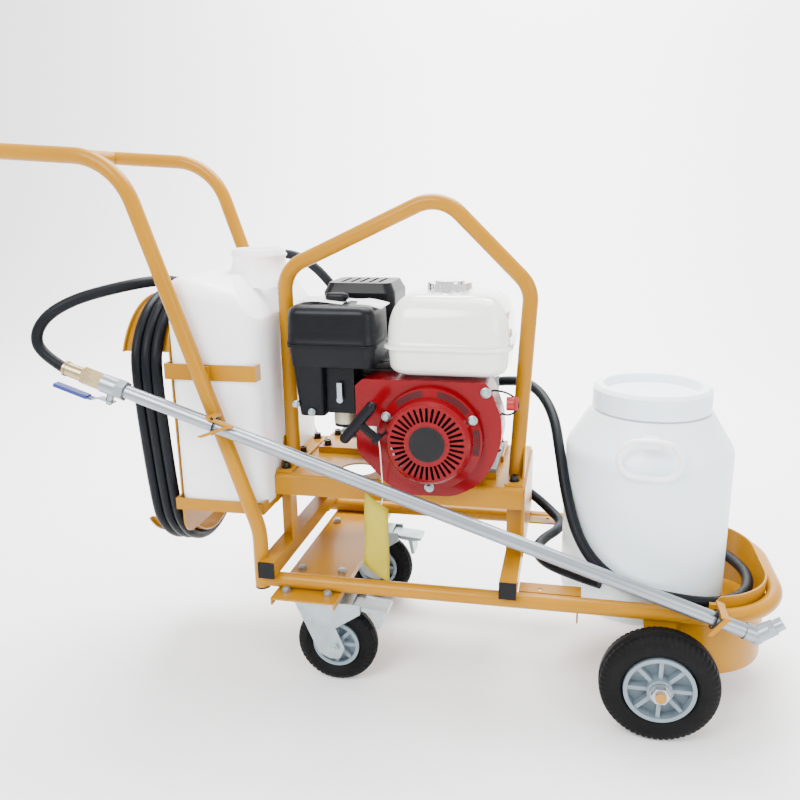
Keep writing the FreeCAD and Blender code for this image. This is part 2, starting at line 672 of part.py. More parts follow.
LANCE_TILT = "atan((lance_rear_z - lance_front_z) / (lance_front_x - lance_rear_x))"
LANCE_LENGTH = "sqrt((lance_front_x - lance_rear_x) ^ 2 + (lance_front_z - lance_rear_z) ^ 2)"


def on_lance(obj, u, y, v, turn="0 deg"):
    """Place an object in the lance's frame: u runs down the lance, v stands square above it."""
    obj.Placement = FreeCAD.Placement(V(0, 0, 0), ROT(Y_AXIS, 10))
    return bind(obj, Placement__Rotation__Angle="%s + %s" % (turn, LANCE_TILT),
                Placement__Base__x="lance_rear_x + (%s) * cos(%s) + (%s) * sin(%s)"
                                   % (u, LANCE_TILT, v, LANCE_TILT),
                Placement__Base__y=y,
                Placement__Base__z="lance_rear_z - (%s) * sin(%s) + (%s) * cos(%s)"
                                   % (u, LANCE_TILT, v, LANCE_TILT))


def prism(sides, radius, height):
    """A regular prism standing on its base, for a nut or a hexagonal body."""
    obj = doc.addObject("Part::Prism", "prism")
    obj.Polygon = sides
    bind(obj, Circumradius=radius, Height=height)
    return obj


def spokes(count, start, end, width, low, high):
    """Bars spread evenly round the Z axis, from one radius to another."""
    bars = []
    for i in range(count):
        angle = 2 * math.pi * i / count
        bar = doc.addObject("Part::Box", "spoke")
        bar.Placement = FreeCAD.Placement(V(0, 0, 0), ROT(Z_AXIS, math.degrees(angle)))
        bind(bar, Length="(%s) - (%s)" % (end, start), Width=width,
             Height="(%s) - (%s)" % (high, low),
             Placement__Base__x="(%s) * %.9f + (%s) / 2 * %.9f"
                                % (start, math.cos(angle), width, math.sin(angle)),
             Placement__Base__y="(%s) * %.9f - (%s) / 2 * %.9f"
                                % (start, math.sin(angle), width, math.cos(angle)),
             Placement__Base__z=low)
        bars.append(bar)
    return bars


# ---------------------------------------------------------------- rear can and its cradle
def can_form(inset):
    """The can's closed outer form, or its hollow's form when moved inwards."""
    x0, x1, half = val("can_x0") + inset, val("can_x1") - inset, val("can_half") - inset
    low, top, r = val("can_low") + inset, val("can_top") - inset, val("can_corner") - inset
    body = lofted([(x0 + 6, x1 - 6, -half + 6, half - 6, low, r - 6),
                   (x0, x1, -half, half, low + 10, r),
                   (x0, x1, -half, half, top - 62, r),
                   (x0 + 5, x1 - 15, -half + 5, half - 5, top - 32, r),
                   (x0 + 12, x1 - 46, -half + 12, half - 12, top - 8, r - 2),
                   (x0 + 20, x1 - 56, -half + 20, half - 20, top, r - 4)])
    grooves = []
    for side in (-1, 1):
        grooves.append(lofted([
            (x0 + 34, x1 - 34, side * 62 - 10 - inset, side * 62 + 10 + inset,
             top - 30 - inset, 8),
            (x0 + 10, x1 + 10, side * 62 - 20 - inset, side * 62 + 20 + inset, top + 10, 8)]))
    neck = Part.makeCylinder(val("neck_r") - inset, val("neck_h") + 60,
                             V(val("neck_x"), 0, val("can_top") - 60))
    return body.cut(grooves).fuse(neck)


def rear_can():
    """A blow-moulded can with a wide open neck, two lobes and a middle ridge."""
    hollow = can_form(val("can_wall"))
    bore = Part.makeCylinder(val("neck_r") - val("can_wall"), val("neck_h") + 70,
                             V(val("neck_x"), 0, val("can_top") - 62))
    return free_solid(can_form(0).cut([hollow, bore]))


def handle_rod(extra):
    """A solid rod along the near handle tube's long upper run."""
    obj = doc.addObject("Part::Cylinder", "run")
    bind(obj, Radius="tube_od / 2 + %g" % extra, Height="handle_top_z - handle_kink_z")
    obj.Placement = FreeCAD.Placement(V(0, 0, 0), ROT(V(0, -1, 0), 10))
    lean = "atan((handle_x - handle_top_x) / (handle_top_z - handle_kink_z))"
    return bind(obj, Placement__Rotation__Angle=lean, Placement__Base__x="handle_x",
                Placement__Base__y="-rail_half", Placement__Base__z="handle_kink_z")


def handle_run_x(z):
    """The handle tube's centre line, as X at a height on its upper run."""
    return ("handle_x - (%s - handle_kink_z) * (handle_x - handle_top_x)"
            " / (handle_top_z - handle_kink_z)" % z)


def band(x, y, z):
    """A sheet band round a rectangle given by its inside."""
    outer = box(("%s - sheet" % x[0], "%s + sheet" % x[1]),
                ("%s - sheet" % y[0], "%s + sheet" % y[1]), z)
    return cut(outer, box(x, y, ("%s - 1" % z[0], "%s + 1" % z[1])))


def can_cradle():
    """A tray and a strap round the can, with tabs to the handle tubes and the posts."""
    x = ("can_x0 - strap_gap", "can_x1 + strap_gap")
    y = ("-can_half - strap_gap", "can_half + strap_gap")
    parts = []
    for low, high in (("strap_low", "strap_low + strap_h"), ("can_low - 3.3", "can_low + 17")):
        ring = band(x, y, (low, high))
        middle = handle_run_x("(%s + 10)" % low)
        tab = cut(box(("%s - 9" % middle, "%s + 9" % middle),
                      ("-rail_half + 8", "-can_half - strap_gap - sheet"),
                      ("%s + 1" % low, "%s - 1" % high)), handle_rod(0.05))
        parts.append(join(ring, tab, mirrored(tab)))
    floor = box(x, y, ("can_low - 3.3", "can_low - 0.3"))
    posts = []
    for low, high in (("deck_near + sheet", "deck_near + sheet + beam_side"),
                      ("deck_far - sheet - beam_side", "deck_far - sheet")):
        posts.append(box(("can_x1 + strap_gap + sheet", "rear_beam_x - beam_side / 2 - 0.05"),
                         (low, high), ("can_low - 2", "can_low + 12")))
    return group(parts[0], join(parts[1], floor, *posts))


# ---------------------------------------------------------------- hose rack and coil
def saddle(z, radius, above):
    """A curved trough behind the rack's plate, with a lip round its outer end."""
    start, back = "rack_tip_x", "rack_back_x - rack_tip_x"
    shell = rod("X", (start, "0", z), radius, back)
    lip = rod("X", (start + " - sheet", "0", z), radius + " + 6", "sheet")
    bore = rod("X", (start + " - 10", "0", z), radius + " - sheet", back + " + 20")
    reach = "-2 * rack_top_r", "2 * rack_top_r"
    half = (z + " - 2 * rack_top_r", z + " + 55") if above else (z + " - 60", z + " + 2 * rack_top_r")
    other_half = box(("rack_tip_x - 10", "rack_back_x + 5"), reach, half)
    return cut(join(shell, lip), bore, other_half)


def hose_rack():
    """A plate behind the can with an upper and a lower saddle for the hose's turns."""
    plate = padded("YZ_Plane", [("-125", "230"), ("125", "230"), ("125", "600"),
                                ("-125", "600")], ["30"] * 4, "rack_back_x", "sheet")
    return join(plate, saddle("rack_top_z", "rack_top_r", True),
                saddle("rack_low_z", "rack_low_r", False))


def coil_outline(extra, start, length):
    """A solid with the outline of a belt round both saddles."""
    top, low = "rack_top_r + %g" % extra, "rack_low_r + %g" % extra
    lean = "((rack_top_r - rack_low_r) / (rack_top_z - rack_low_z))"
    across = "sqrt(1 - %s ^ 2)" % lean
    upper = ("(%s) * %s" % (top, across), "rack_top_z - (%s) * %s" % (top, lean))
    lower = ("(%s) * %s" % (low, across), "rack_low_z - (%s) * %s" % (low, lean))
    middle = padded("YZ_Plane", [("-" + lower[0], lower[1]), lower, upper,
                                 ("-" + upper[0], upper[1])], [None] * 4, start, length)
    return join(rod("X", (start, "0", "rack_top_z"), top, length),
                rod("X", (start, "0", "rack_low_z"), low, length), middle)


def hose_coil():
    """The outer shape of the hose's turns on the rack."""
    start = "rack_back_x - 3.5 * hose_d - 4"
    return cut(coil_outline(18.3, start, "3 * hose_d"),
               coil_outline(0.3, start + " - 1", "3 * hose_d + 2"))


def hose(label, points):
    return cord_tube(label, points, val("hose_d"))


# ---------------------------------------------------------------- lance
def lance_pipe():
    return cut(offset_rod("0", "lance_y", "0", "lance_od / 2", LANCE_LENGTH),
               offset_rod("-1", "lance_y", "0", "lance_od / 2 - 2.5", LANCE_LENGTH + " + 2"))


def valve_body():
    """A ball valve's body with its hexagonal end and the stem's boss."""
    barrel = offset_rod("-40", "lance_y", "0", "15", "27")
    end = on_lance(prism(6, "17", "14"), "-14.1", "lance_y", "0", "90 deg")
    boss = offset_rod("-24", "lance_y", "-24", "6", "16", "0 deg")
    return join(barrel, end, boss)


def valve_lever():
    """A cranked flat lever with a sleeve on its handle and a nut on the stem."""
    outline = [("-16", "-24.2"), ("-16", "-26.7"), ("-40", "-26.7"), ("-52", "-33.6"),
               ("-60", "-33.6"), ("-60", "-35.2"), ("-120", "-35.2"), ("-120", "-29.4"),
               ("-60", "-29.4"), ("-60", "-31.1"), ("-51", "-31.1"), ("-39", "-24.2")]
    plate = on_lance(side_pad(outline, [None] * 12, "-7", "7"), "0", "lance_y", "0")
    nut = on_lance(prism(6, "5.5", "5"), "-24", "lance_y", "-31", "0 deg")
    return join(plate, nut)


def hose_fitting():
    """A hexagon nut and a crimped sleeve at the hose's end."""
    nut = on_lance(prism(6, "15.5", "34"), "-74.2", "lance_y", "0", "90 deg")
    collar = offset_rod("-42", "lance_y", "0", "12", "1.9")
    sleeve = offset_rod("-108", "lance_y", "0", "11.5", "34")
    ring = offset_rod("-108", "lance_y", "0", "12.6", "4")
    return join(nut, collar, sleeve, ring)


def lance_nozzle():
    """A coupling, an elbow turned upwards and a short hexagonal tip."""
    socket = offset_rod(LANCE_LENGTH + " + 0.1", "lance_y", "0", "13", "18")
    corner = ("lance_rear_x + (%s + 18) * cos(%s)" % (LANCE_LENGTH, LANCE_TILT),
              "lance_y", "lance_rear_z - (%s + 18) * sin(%s)" % (LANCE_LENGTH, LANCE_TILT))
    ball = doc.addObject("Part::Sphere", "ball")
    ball.Radius = 13.4
    place(ball, *corner)
    parts = [socket, ball]
    for reach, radius, length, sides in ((0, 12.2, 21, 0), (20, 13.4, 9, 6), (28.5, 9.4, 13, 0)):
        if sides:
            piece = prism(sides, str(radius), str(length))
        else:
            piece = doc.addObject("Part::Cylinder", "rod")
            bind(piece, Radius=str(radius), Height=str(length))
        rise = math.radians(NOZZLE_RISE)
        place(piece, "%s + %.4f" % (corner[0], reach * math.cos(rise)), corner[1],
              "%s + %.4f" % (corner[2], reach * math.sin(rise)), ROT(Y_AXIS, 90 - NOZZLE_RISE))
        parts.append(piece)
    return join(*parts)


NOZZLE_RISE = 35


def lance_hooks():
    """Two bent strips that reach over the lance from the handle tube and the front rail."""
    hooks = []
    out, top = "-lance_od / 2 - 5", "lance_od / 2 + 3.6"
    for u, left, right, inner in (("166", "-23", "22", "-rail_half - tube_od / 2 + 3"),
                                  ("973", "-8", "6", "-rail_half + 6")):
        over = side_pad([(left, "lance_od / 2 + 0.6"), (right, "lance_od / 2 + 0.6"),
                         (right, top), (left, top)], [None] * 4, out, "-lance_od / 2 + 3")
        neck = side_pad([(left, "lance_od / 2 + 0.6"), (left + " + 12", "lance_od / 2 + 0.6"),
                         (left + " + 12", top), (left, top)], [None] * 4,
                        out, "%s - lance_y" % inner)
        outer = side_pad([(right + " - 8", top), (left + " - 6", "-lance_od / 2 - 10"),
                          (left + " + 1", "-lance_od / 2 - 10"), (right, top)],
                         [None] * 4, out, "-lance_od / 2 - 2")
        hook = on_lance(join(over, neck, outer), u, "lance_y", "0")
        hooks.append(cut(hook, handle_rod(0.05)) if u == "166" else hook)
    foot = box(("497", "519"), ("-rail_half - 2", "-rail_half + 6"),
               ("rail_z + tube_od / 2 + 0.1", "rail_z + tube_od / 2 + 9"))
    hooks[1] = join(hooks[1], foot)
    return group(*hooks)


# ---------------------------------------------------------------- wheels
def wheel_centre(width, rim, boss, bore, x, y, z):
    """A moulded wheel centre: rim, web, boss and eight spokes about an axis along Y."""
    half = "%s / 2" % width
    points = [(bore, "-%s" % half), (boss, "-%s" % half), (boss, "-3"), (rim + " - 6", "-3"),
              (rim + " - 6", "-%s + 3" % half), (rim, "-%s + 3" % half), (rim, half + " - 3"),
              (rim + " - 6", half + " - 3"), (rim + " - 6", "3"), (boss, "3"), (boss, half),
              (bore, half)]
    bars = spokes(8, boss + " - 1", rim + " - 5", "6", "-%s + 6" % half, half + " - 6")
    return place(join(revolved(points), *bars), x, y, z, TURNS["Y"])


def tyre(width, radius, rim, x, y, z, shoulder):
    """A tyre with rounded shoulders about an axis along Y."""
    half = "%s / 2" % width
    inner = rim + " + 0.2"
    points = [(inner, "-%s + 5" % half), (rim + " + 9", "-" + half), (radius, "-" + half),
              (radius, half), (rim + " + 9", half), (inner, half + " - 5")]
    radii = [None, "6", shoulder, shoulder, "6", None]
    return place(revolved(points, radii), x, y, z, TURNS["Y"])


def front_axle():
    """A straight axle with collars, and a washer and nut outside each wheel."""
    half = "wheel_y + wheel_w / 2"
    reach = "(%s + 17)" % half
    shaft = rod("Y", ("wheel_x", "-" + reach, "wheel_r"), "axle_d / 2", "2 * " + reach)
    parts = [shaft]
    for side in (-1, 1):
        collar = rod("Y", ("wheel_x", "%d * (wheel_y - wheel_w / 2 - 4) - 3.5" % side, "wheel_r"),
                     "14", "7")
        washer = rod("Y", ("wheel_x", "%d * (%s + 2) - 1" % (side, half), "wheel_r"), "15", "2")
        nut = place(prism(6, "14", "9"), "wheel_x", "%d * (%s + 7.4) - 4.5" % (side, half),
                    "wheel_r", TURNS["Y"])
        parts += [collar, washer, nut]
    return join(*parts)


HUB_X = "swivel_x + trail"


def caster_tops():
    """The casters' fixed plates and upper bearing races."""
    plate = box(("swivel_x - 46", "swivel_x + 46"), ("-swivel_y - 52", "-swivel_y + 52"),
                (TOP_PLATE, TOP_PLATE + " + 3.9"))
    race = rod("Z", ("swivel_x", "-swivel_y", TOP_PLATE + " - 8"), "31", "8")
    bore = rod("Z", ("swivel_x", "-swivel_y", TOP_PLATE + " - 9"), "8.1", "10")
    holes = []
    for x in ("swivel_x - caster_bolt_x", "swivel_x + caster_bolt_x"):
        for y in ("swivel_y - caster_bolt_y", "swivel_y + caster_bolt_y"):
            holes.append(rod("Z", (x, "-(%s)" % y, TOP_PLATE + " - 1"), "bolt_d / 2 + 0.2", "6"))
    top = cut(join(plate, race), bore, *holes)
    return group(top, mirrored(top))


def caster_fork():
    """A swivelling fork: kingpin, lower race, crown, two side plates and the axle bolt."""
    y = "-swivel_y"
    low = TOP_PLATE + " - 18.5"
    crown = box(("swivel_x - 30", "swivel_x + 70"), (y + " - 25", y + " + 25"),
                (low, low + " + 3.5"))
    race = rod("Z", ("swivel_x", y, low + " + 3"), "28", "7.2")
    king = rod("Z", ("swivel_x", y, low + " + 9"), "8", "9")
    plates = []
    for side in (-1, 1):
        centre = "%s + %d * 23.5" % (y, side)
        outline = [("swivel_x - 30", low + " + 3.5"), ("%s - 27" % HUB_X, "caster_r - 12"),
                   ("%s - 9" % HUB_X, "caster_r - 21"), ("%s + 9" % HUB_X, "caster_r - 21"),
                   ("%s + 18" % HUB_X, "caster_r"), ("%s + 3" % HUB_X, "caster_r + 36"),
                   ("%s + 46" % HUB_X, low + " - 14"), ("%s + 46" % HUB_X, low + " + 3.5")]
        plate = side_pad(outline, [None, "10", "8", "8", "10", None, None, None],
                         centre + " - 1.5", centre + " + 1.5")
        plates.append(cut(plate, rod("Y", (HUB_X, centre + " - 5", "caster_r"),
                                     "caster_axle_d / 2 + 0.1", "10")))
    bolt = rod("Y", (HUB_X, y + " - 33", "caster_r"), "caster_axle_d / 2", "62")
    head = place(prism(6, "9", "6"), HUB_X, y + " - 31.2", "caster_r", TURNS["Y"])
    nut = place(prism(6, "9", "4"), HUB_X, y + " + 25.1", "caster_r", TURNS["Y"])
    return group(join(crown, race, king, *plates), join(bolt, head, nut))


def brake_pedal():
    """A pressed pedal over the wheel with a bent tab at its outer end."""
    y = "-swivel_y"
    top = TOP_PLATE + " - 20"
    outline = [("%s + 14" % HUB_X, top), ("%s + 14" % HUB_X, top + " - 6"),
               ("%s + 30" % HUB_X, top + " - 6"), ("%s + 66" % HUB_X, top + " - 11"),
               ("%s + 72" % HUB_X, top + " - 40"), ("%s + 78" % HUB_X, top + " - 38"),
               ("%s + 74" % HUB_X, top + " - 12"), ("%s + 92" % HUB_X, top + " - 9"),
               ("%s + 91" % HUB_X, top + " - 5"), ("%s + 40" % HUB_X, top)]
    barrel = rod("Y", ("%s + 16" % HUB_X, y + " - 20", top + " - 3"), "3.2", "40")
    return join(side_pad(outline, [None] * 10, y + " - 20", y + " + 20"), barrel)


# ---------------------------------------------------------------- engine
def crankcase():
    """The engine's block with its mounting foot and a bore right through for the shaft."""
    body = box(("-8", "152"), ("-60", "88"), ("base_z + 6", "520"))
    foot = box(("-20", "164"), ("-59", "90"), ("base_z", "base_z + 6"))
    cover = rod("Y", ("shaft_x", "87", "shaft_z"), "62", "8")
    bore = rod("Y", ("shaft_x", "-70", "shaft_z"), "shaft_d / 2 + running_play", "180")
    stems = [rod("Z", (x, y, "base_z - 1"), "8.7", "14") for x, y in STRIP_BOLTS]
    return cut(join(body, foot, cover), bore, *stems)


def cylinder_block():
    """A finned cylinder and head beside the block, with the exhaust flange on top."""
    parts = [box(("-95", "-8.05"), ("-42", "75"), ("398", "536")),
             box(("-92", "-40"), ("8", "68"), ("535", "muffler_low - 0.1"))]
    for i in range(14):
        low = 401 + 10 * i
        parts.append(box(("-104", "-9"), ("-54", "86"), (str(low), str(low + 3))))
    return join(*parts)


SHROUD = [("-56", "402"), ("-3", "346"), ("33", "333"), ("104", "335"), ("144", "357"),
          ("166", "394"), ("178", "432"), ("176", "468"), ("160", "512"), ("152", "523"),
          ("-44", "523"), ("-56", "512")]


def fan_shroud():
    """A pressed fan housing, open behind, with a round mouth under the recoil cover."""
    y_front = "recoil_y + recoil_depth"
    radii = ["30", "55", "60", "60", "70", "70", "70", "70", None, "10", "8", None]
    outer = side_pad(SHROUD, radii, y_front, "shroud_back")
    near_to_mid = [("shaft_x + (%s - shaft_x) * 0.965" % x, "shaft_z + (%s - shaft_z) * 0.965" % z)
                   for x, z in SHROUD]
    inner = side_pad(near_to_mid, ["28", "53", "57", "57", "67", "67", "67", "67", None, "8", "6", None],
                     y_front + " + 2", "shroud_back + 1")
    mouth = rod("Y", ("shaft_x", y_front + " - 1", "shaft_z"), "recoil_r - 10", "6")
    under = box(("-100", "220"), ("deck_near - 1", "shroud_back + 2"), ("300", "deck_top + 0.5"))
    return cut(outer, inner, mouth, under)


def recoil_cover():
    """A domed recoil cover with radial slots, three bosses and a plain centre badge."""
    wall = 2
    depth = "recoil_depth"
    points = [("0", depth), ("62", depth), ("67", depth + " - 6"), ("70", depth + " - 20"),
              ("recoil_r - 1", depth + " - 24"), ("recoil_r", "0.1"),
              ("recoil_r - %g" % wall, "0.1"), ("recoil_r - 1 - %g" % wall, depth + " - 26"),
              ("70 - %g" % wall, depth + " - 22"), ("67 - %g" % wall, depth + " - 7"),
              ("61", depth + " - %g" % wall), ("0", depth + " - %g" % wall)]
    slots = spokes(36, "slot_in", "slot_out", "4.1", depth + " - 4", depth + " + 2")
    badge = rod("Z", ("0", "0", depth + " - 1"), "badge_r", "2")
    bosses = []
    for angle in (28, 152, 270):
        x = "recoil_bolt_r * %.6f" % math.cos(math.radians(angle))
        y = "recoil_bolt_r * %.6f" % math.sin(math.radians(angle))
        bosses += [rod("Z", (x, y, "0.1"), "7", depth + " - 20"),
                   place(prism(6, "5.5", "5"), x, y, depth + " - 20")]
    cover = join(cut(revolved(points), *slots), badge, *bosses)
    return place(cover, "shaft_x", "recoil_y + recoil_depth", "shaft_z", ROT(X_AXIS, 90))


def crankshaft_flywheel():
    """The crankshaft with its fan and flywheel, running from the housing to the pump."""
    shaft = rod("Y", ("shaft_x", "-118", "shaft_z"), "shaft_d / 2", "248")
    disc = rod("Y", ("shaft_x", "-98", "shaft_z"), "flywheel_r", "20")
    blades = place(join(*spokes(12, "shaft_d / 2 - 1", "flywheel_r - 8", "3", "0", "16")),
                   "shaft_x", "-98", "shaft_z", ROT(X_AXIS, 90))
    return join(shaft, disc, blades)


def tank_form(inset):
    """The fuel tank's rounded form, or its hollow's form when moved inwards."""
    x0, x1 = val("tank_x0") + inset, val("tank_x1") - inset
    y0, y1 = val("tank_y0") + inset, val("tank_y1") - inset
    low, seam, top = val("tank_low") + inset, val("tank_seam"), val("tank_top") - inset
    rise = top - seam
    lower = lofted([(x0 + 22, x1 - 22, y0 + 20, y1 - 20, low, 24 - inset),
                    (x0 + 12, x1 - 12, y0 + 10, y1 - 10, low + 8, 26 - inset),
                    (x0 + 5, x1 - 5, y0 + 5, y1 - 5, seam, 28 - inset)])
    upper = lofted([(x0 + 5, x1 - 5, y0 + 5, y1 - 5, seam, 28 - inset),
                    (x0 + 9, x1 - 9, y0 + 9, y1 - 9, seam + 0.5 * rise, 30 - inset),
                    (x0 + 18, x1 - 18, y0 + 18, y1 - 18, seam + 0.8 * rise, 32 - inset),
                    (x0 + 38, x1 - 38, y0 + 38, y1 - 38, seam + 0.96 * rise, 34 - inset),
                    (x0 + 52, x1 - 52, y0 + 52, y1 - 52, top, 26 - inset)])
    return lower.fuse(upper)


def fuel_tank():
    """A two-part pressed tank with a seam flange and a filler neck."""
    x0, x1, y0, y1 = (val(a) for a in ("tank_x0", "tank_x1", "tank_y0", "tank_y1"))
    seam = val("tank_seam")
    flange = lofted([(x0, x1, y0, y1, seam - 2.5, 30), (x0, x1, y0, y1, seam + 2.5, 30)])
    neck_at = V(val("cap_x"), val("cap_y"), val("tank_top") - 12)
    neck = Part.makeCylinder(22, 20, neck_at)
    bore = Part.makeCylinder(19, 30, neck_at - V(0, 0, 5))
    return free_solid(tank_form(0).fuse([flange, neck]).cut([tank_form(2), bore]))


def fuel_cap():
    """A scalloped screw cap over the filler neck."""
    low, high = "tank_top + 1", "tank_top + 16"
    cap = rod("Z", ("cap_x", "cap_y", low), "cap_r", "(%s) - (%s)" % (high, low))
    dome = rod("Z", ("cap_x", "cap_y", high), "cap_r - 12", "3")
    hollow = rod("Z", ("cap_x", "cap_y", low + " - 1"), "22.3", "10")
    scallops = []
    for i in range(8):
        angle = 2 * math.pi * (i + 0.5) / 8
        scallops.append(rod("Z", ("cap_x + (cap_r + 5) * %.6f" % math.cos(angle),
                                  "cap_y + (cap_r + 5) * %.6f" % math.sin(angle),
                                  low + " - 1"), "9", "30"))
    return cut(join(cap, dome), hollow, *scallops)


def air_cleaner_cover():
    """A deep rounded cover with a wing knob on top."""
    x0, x1, y0, y1 = (val(a) for a in ("cleaner_x0", "cleaner_x1", "cleaner_y0", "cleaner_y1"))
    low, top = val("cleaner_seam") + 0.1, val("cleaner_top")
    shell = lofted([(x0, x1, y0, y1, low, 18), (x0 + 1, x1 - 1, y0 + 1, y1 - 1, top - 14, 18),
                    (x0 + 6, x1 - 6, y0 + 6, y1 - 6, top - 4, 16),
                    (x0 + 14, x1 - 14, y0 + 14, y1 - 14, top, 12)])
    hollow = lofted([(x0 + 3, x1 - 3, y0 + 3, y1 - 3, low - 1, 15),
                     (x0 + 8, x1 - 8, y0 + 8, y1 - 8, top - 8, 13)])
    centre = V((x0 + x1) / 2, (y0 + y1) / 2, top - 1)
    knob = Part.makeCylinder(11, 9, centre)
    wing = Part.makeBox(38, 10, 11, centre + V(-19, -5, 4))
    return free_solid(shell.cut(hollow).fuse([knob, wing]))


def air_cleaner_case():
    """The cleaner's lower case with its seam lip, and the elbow down to the carburettor."""
    x0, x1, y0, y1 = (val(a) for a in ("cleaner_x0", "cleaner_x1", "cleaner_y0", "cleaner_y1"))
    low, top = val("cleaner_low"), val("cleaner_seam")
    case = lofted([(x0 + 5, x1 - 5, y0 + 5, y1 - 5, low, 15),
                   (x0 + 2, x1 - 2, y0 + 2, y1 - 2, top - 5, 17)])
    lip = lofted([(x0 - 1, x1 + 1, y0 - 1, y1 + 1, top - 5, 19),
                  (x0 - 1, x1 + 1, y0 - 1, y1 + 1, top, 19)])
    hollow = lofted([(x0 + 7, x1 - 7, y0 + 7, y1 - 7, low + 3, 13),
                     (x0 + 5, x1 - 5, y0 + 5, y1 - 5, top + 1, 14)])
    elbow = lofted([(x0 + 16, x0 + 58, y0 + 12, y1 - 22, low - 82, 8),
                    (x0 + 8, x0 + 58, y0 + 8, y1 - 20, low + 1, 8)])
    return free_solid(case.fuse([lip]).cut(hollow).fuse(elbow))


def carburettor():
    """The carburettor's body with a float bowl and drain screw under it."""
    x, y = "-83", "-87"
    body = box(("-107", "-61"), ("-112", "-62"), ("462", "536"))
    bowl = rod("Z", (x, y, "436"), "19", "27")
    screw = rod("Z", (x, y, "430"), "5", "7")
    throat = rod("X", ("-107.9", y, "498"), "16", "10")
    return join(body, bowl, screw, throat)


def muffler_guard():
    """A rounded exhaust box with louvre slots cut in its top and near side."""
    x0, x1, y0, y1 = (val(a) for a in ("muffler_x0", "muffler_x1", "muffler_y0", "muffler_y1"))
    low, top = val("muffler_low"), val("muffler_top")
    shell = lofted([(x0, x1, y0, y1, low, 16), (x0, x1, y0, y1, top - 16, 16),
                    (x0 + 8, x1 - 8, y0 + 8, y1 - 8, top, 14)])
    hollow = lofted([(x0 + 3, x1 - 3, y0 + 3, y1 - 3, low + 3, 13),
                     (x0 + 3, x1 - 3, y0 + 3, y1 - 3, top - 18, 13),
                     (x0 + 11, x1 - 11, y0 + 11, y1 - 11, top - 3, 11)])
    slots = []
    for i in range(5):
        x = x0 + 26 + i * (x1 - x0 - 60) / 4
        slots.append(Part.makeBox(6, y1 - y0 - 44, 12, V(x, y0 + 22, top - 8)))
    for i in range(4):
        slots.append(Part.makeBox(6, 12, 44, V(x1 - 30 - 16 * i, y0 - 6, low + 24)))
    return free_solid(shell.cut([hollow] + slots))


def starter_grip():
    """A T-shaped pull grip: a flat bar on a short stem."""
    ends = (V(-60, 0, 440), V(-17, 0, 492))
    along = (ends[1] - ends[0]).normalize()
    bar = Part.makeCylinder(8.5, (ends[1] - ends[0]).Length, ends[0], along)
    for end in ends:
        bar = bar.fuse(Part.makeSphere(8.5, end))
    across = V(along.z, 0, -along.x)
    middle = (ends[0] + ends[1]) * 0.5
    stem = Part.makeCylinder(6.5, 38, middle, across)
    tip = Part.makeCylinder(9, 9, middle + across * 34, across)
    shape = bar.fuse([stem, tip])
    return place(free_solid(shape), y="recoil_y - 13")


def engine_switch():
    """A round switch knob with a raised bar."""
    knob = rod("X", ("182", "-100", "486"), "11", "12")
    bar = box(("193", "200"), ("-103", "-97"), ("476", "496"))
    return join(knob, bar)


def choke_lever():
    """A small lever on the near side of the carburettor."""
    pivot = rod("Y", ("-83", "-122", "486"), "5", "9.9")
    arm = box(("-87", "-79"), ("-122", "-119"), ("486", "514"))
    return join(pivot, arm)


def pump_body():
    """A reduction housing on the block and a three-headed piston pump behind it."""
    housing = rod("Y", ("shaft_x", "95.1", "shaft_z"), "58", "56")
    bore = rod("Y", ("shaft_x", "95", "shaft_z"), "shaft_d / 2 + running_play", "36")
    head = box(("8", "124"), ("150", "218"), ("396", "466"))
    heads = [rod("Y", (x, "217", "432"), "15", "26") for x in ("30", "66", "102")]
    caps = [rod("Z", (x, "190", "465"), "11", "12") for x in ("30", "66", "102")]
    ports = [rod("X", ("-8", "182", "450"), "11", "17"),
             rod("X", ("123", "172", "456"), "11", "13"),
             rod("Z", ("82", "184", "384"), "11", "13")]
    return join(cut(join(housing, head), bore), *heads, *caps, *ports)


def pressure_knob():
    return join(rod("Z", ("66", "166", "466.2"), "5", "14"),
                rod("Z", ("66", "166", "478"), "14", "16"))


# ---------------------------------------------------------------- drum bails
def around_drum(obj):
    """Turn an object about the drum's axis by the drum's own turn."""
    obj.Placement = FreeCAD.Placement(V(0, 0, 0), ROT(Z_AXIS, 10))
    return bind(obj, Placement__Rotation__Angle="drum_turn", Placement__Base__x="drum_x")


def drum_handle():
    """The near bail, a rounded loop that swings in the drum's lug."""
    corner = "(bail_top - bail_low) / 2 - 1"
    points = [("0", "bail_low"), ("bail_half", "bail_low"), ("bail_half", "bail_top"),
              ("0", "bail_top")]
    half = bent_tube("XZ_Plane", points, [None, corner, corner, None], "YZ_Plane",
                     ("0", "bail_low"), "0", od="2 * bail_r", wall=None)
    loop = join(half, mirrored(half, X_AXIS))
    return place(loop, y="-drum_r - bail_r - 1.5")


def drum_lugs():
    """Blocks on both sides of the drum that hold the bails."""
    lug = box(("-12", "12"), ("-drum_r - 11", "-drum_r + 36"), ("bail_top - 9", "bail_top + 2"))
    hole = rod("X", ("-13", "-drum_r - bail_r - 1.5", "bail_top"), "bail_r + 0.6", "26")
    slot = box(("-13", "13"), ("-drum_r - 2 * bail_r - 2.1", "-drum_r - 0.9"),
               ("bail_top", "bail_top + 10"))
    return cut(lug, hole, slot)


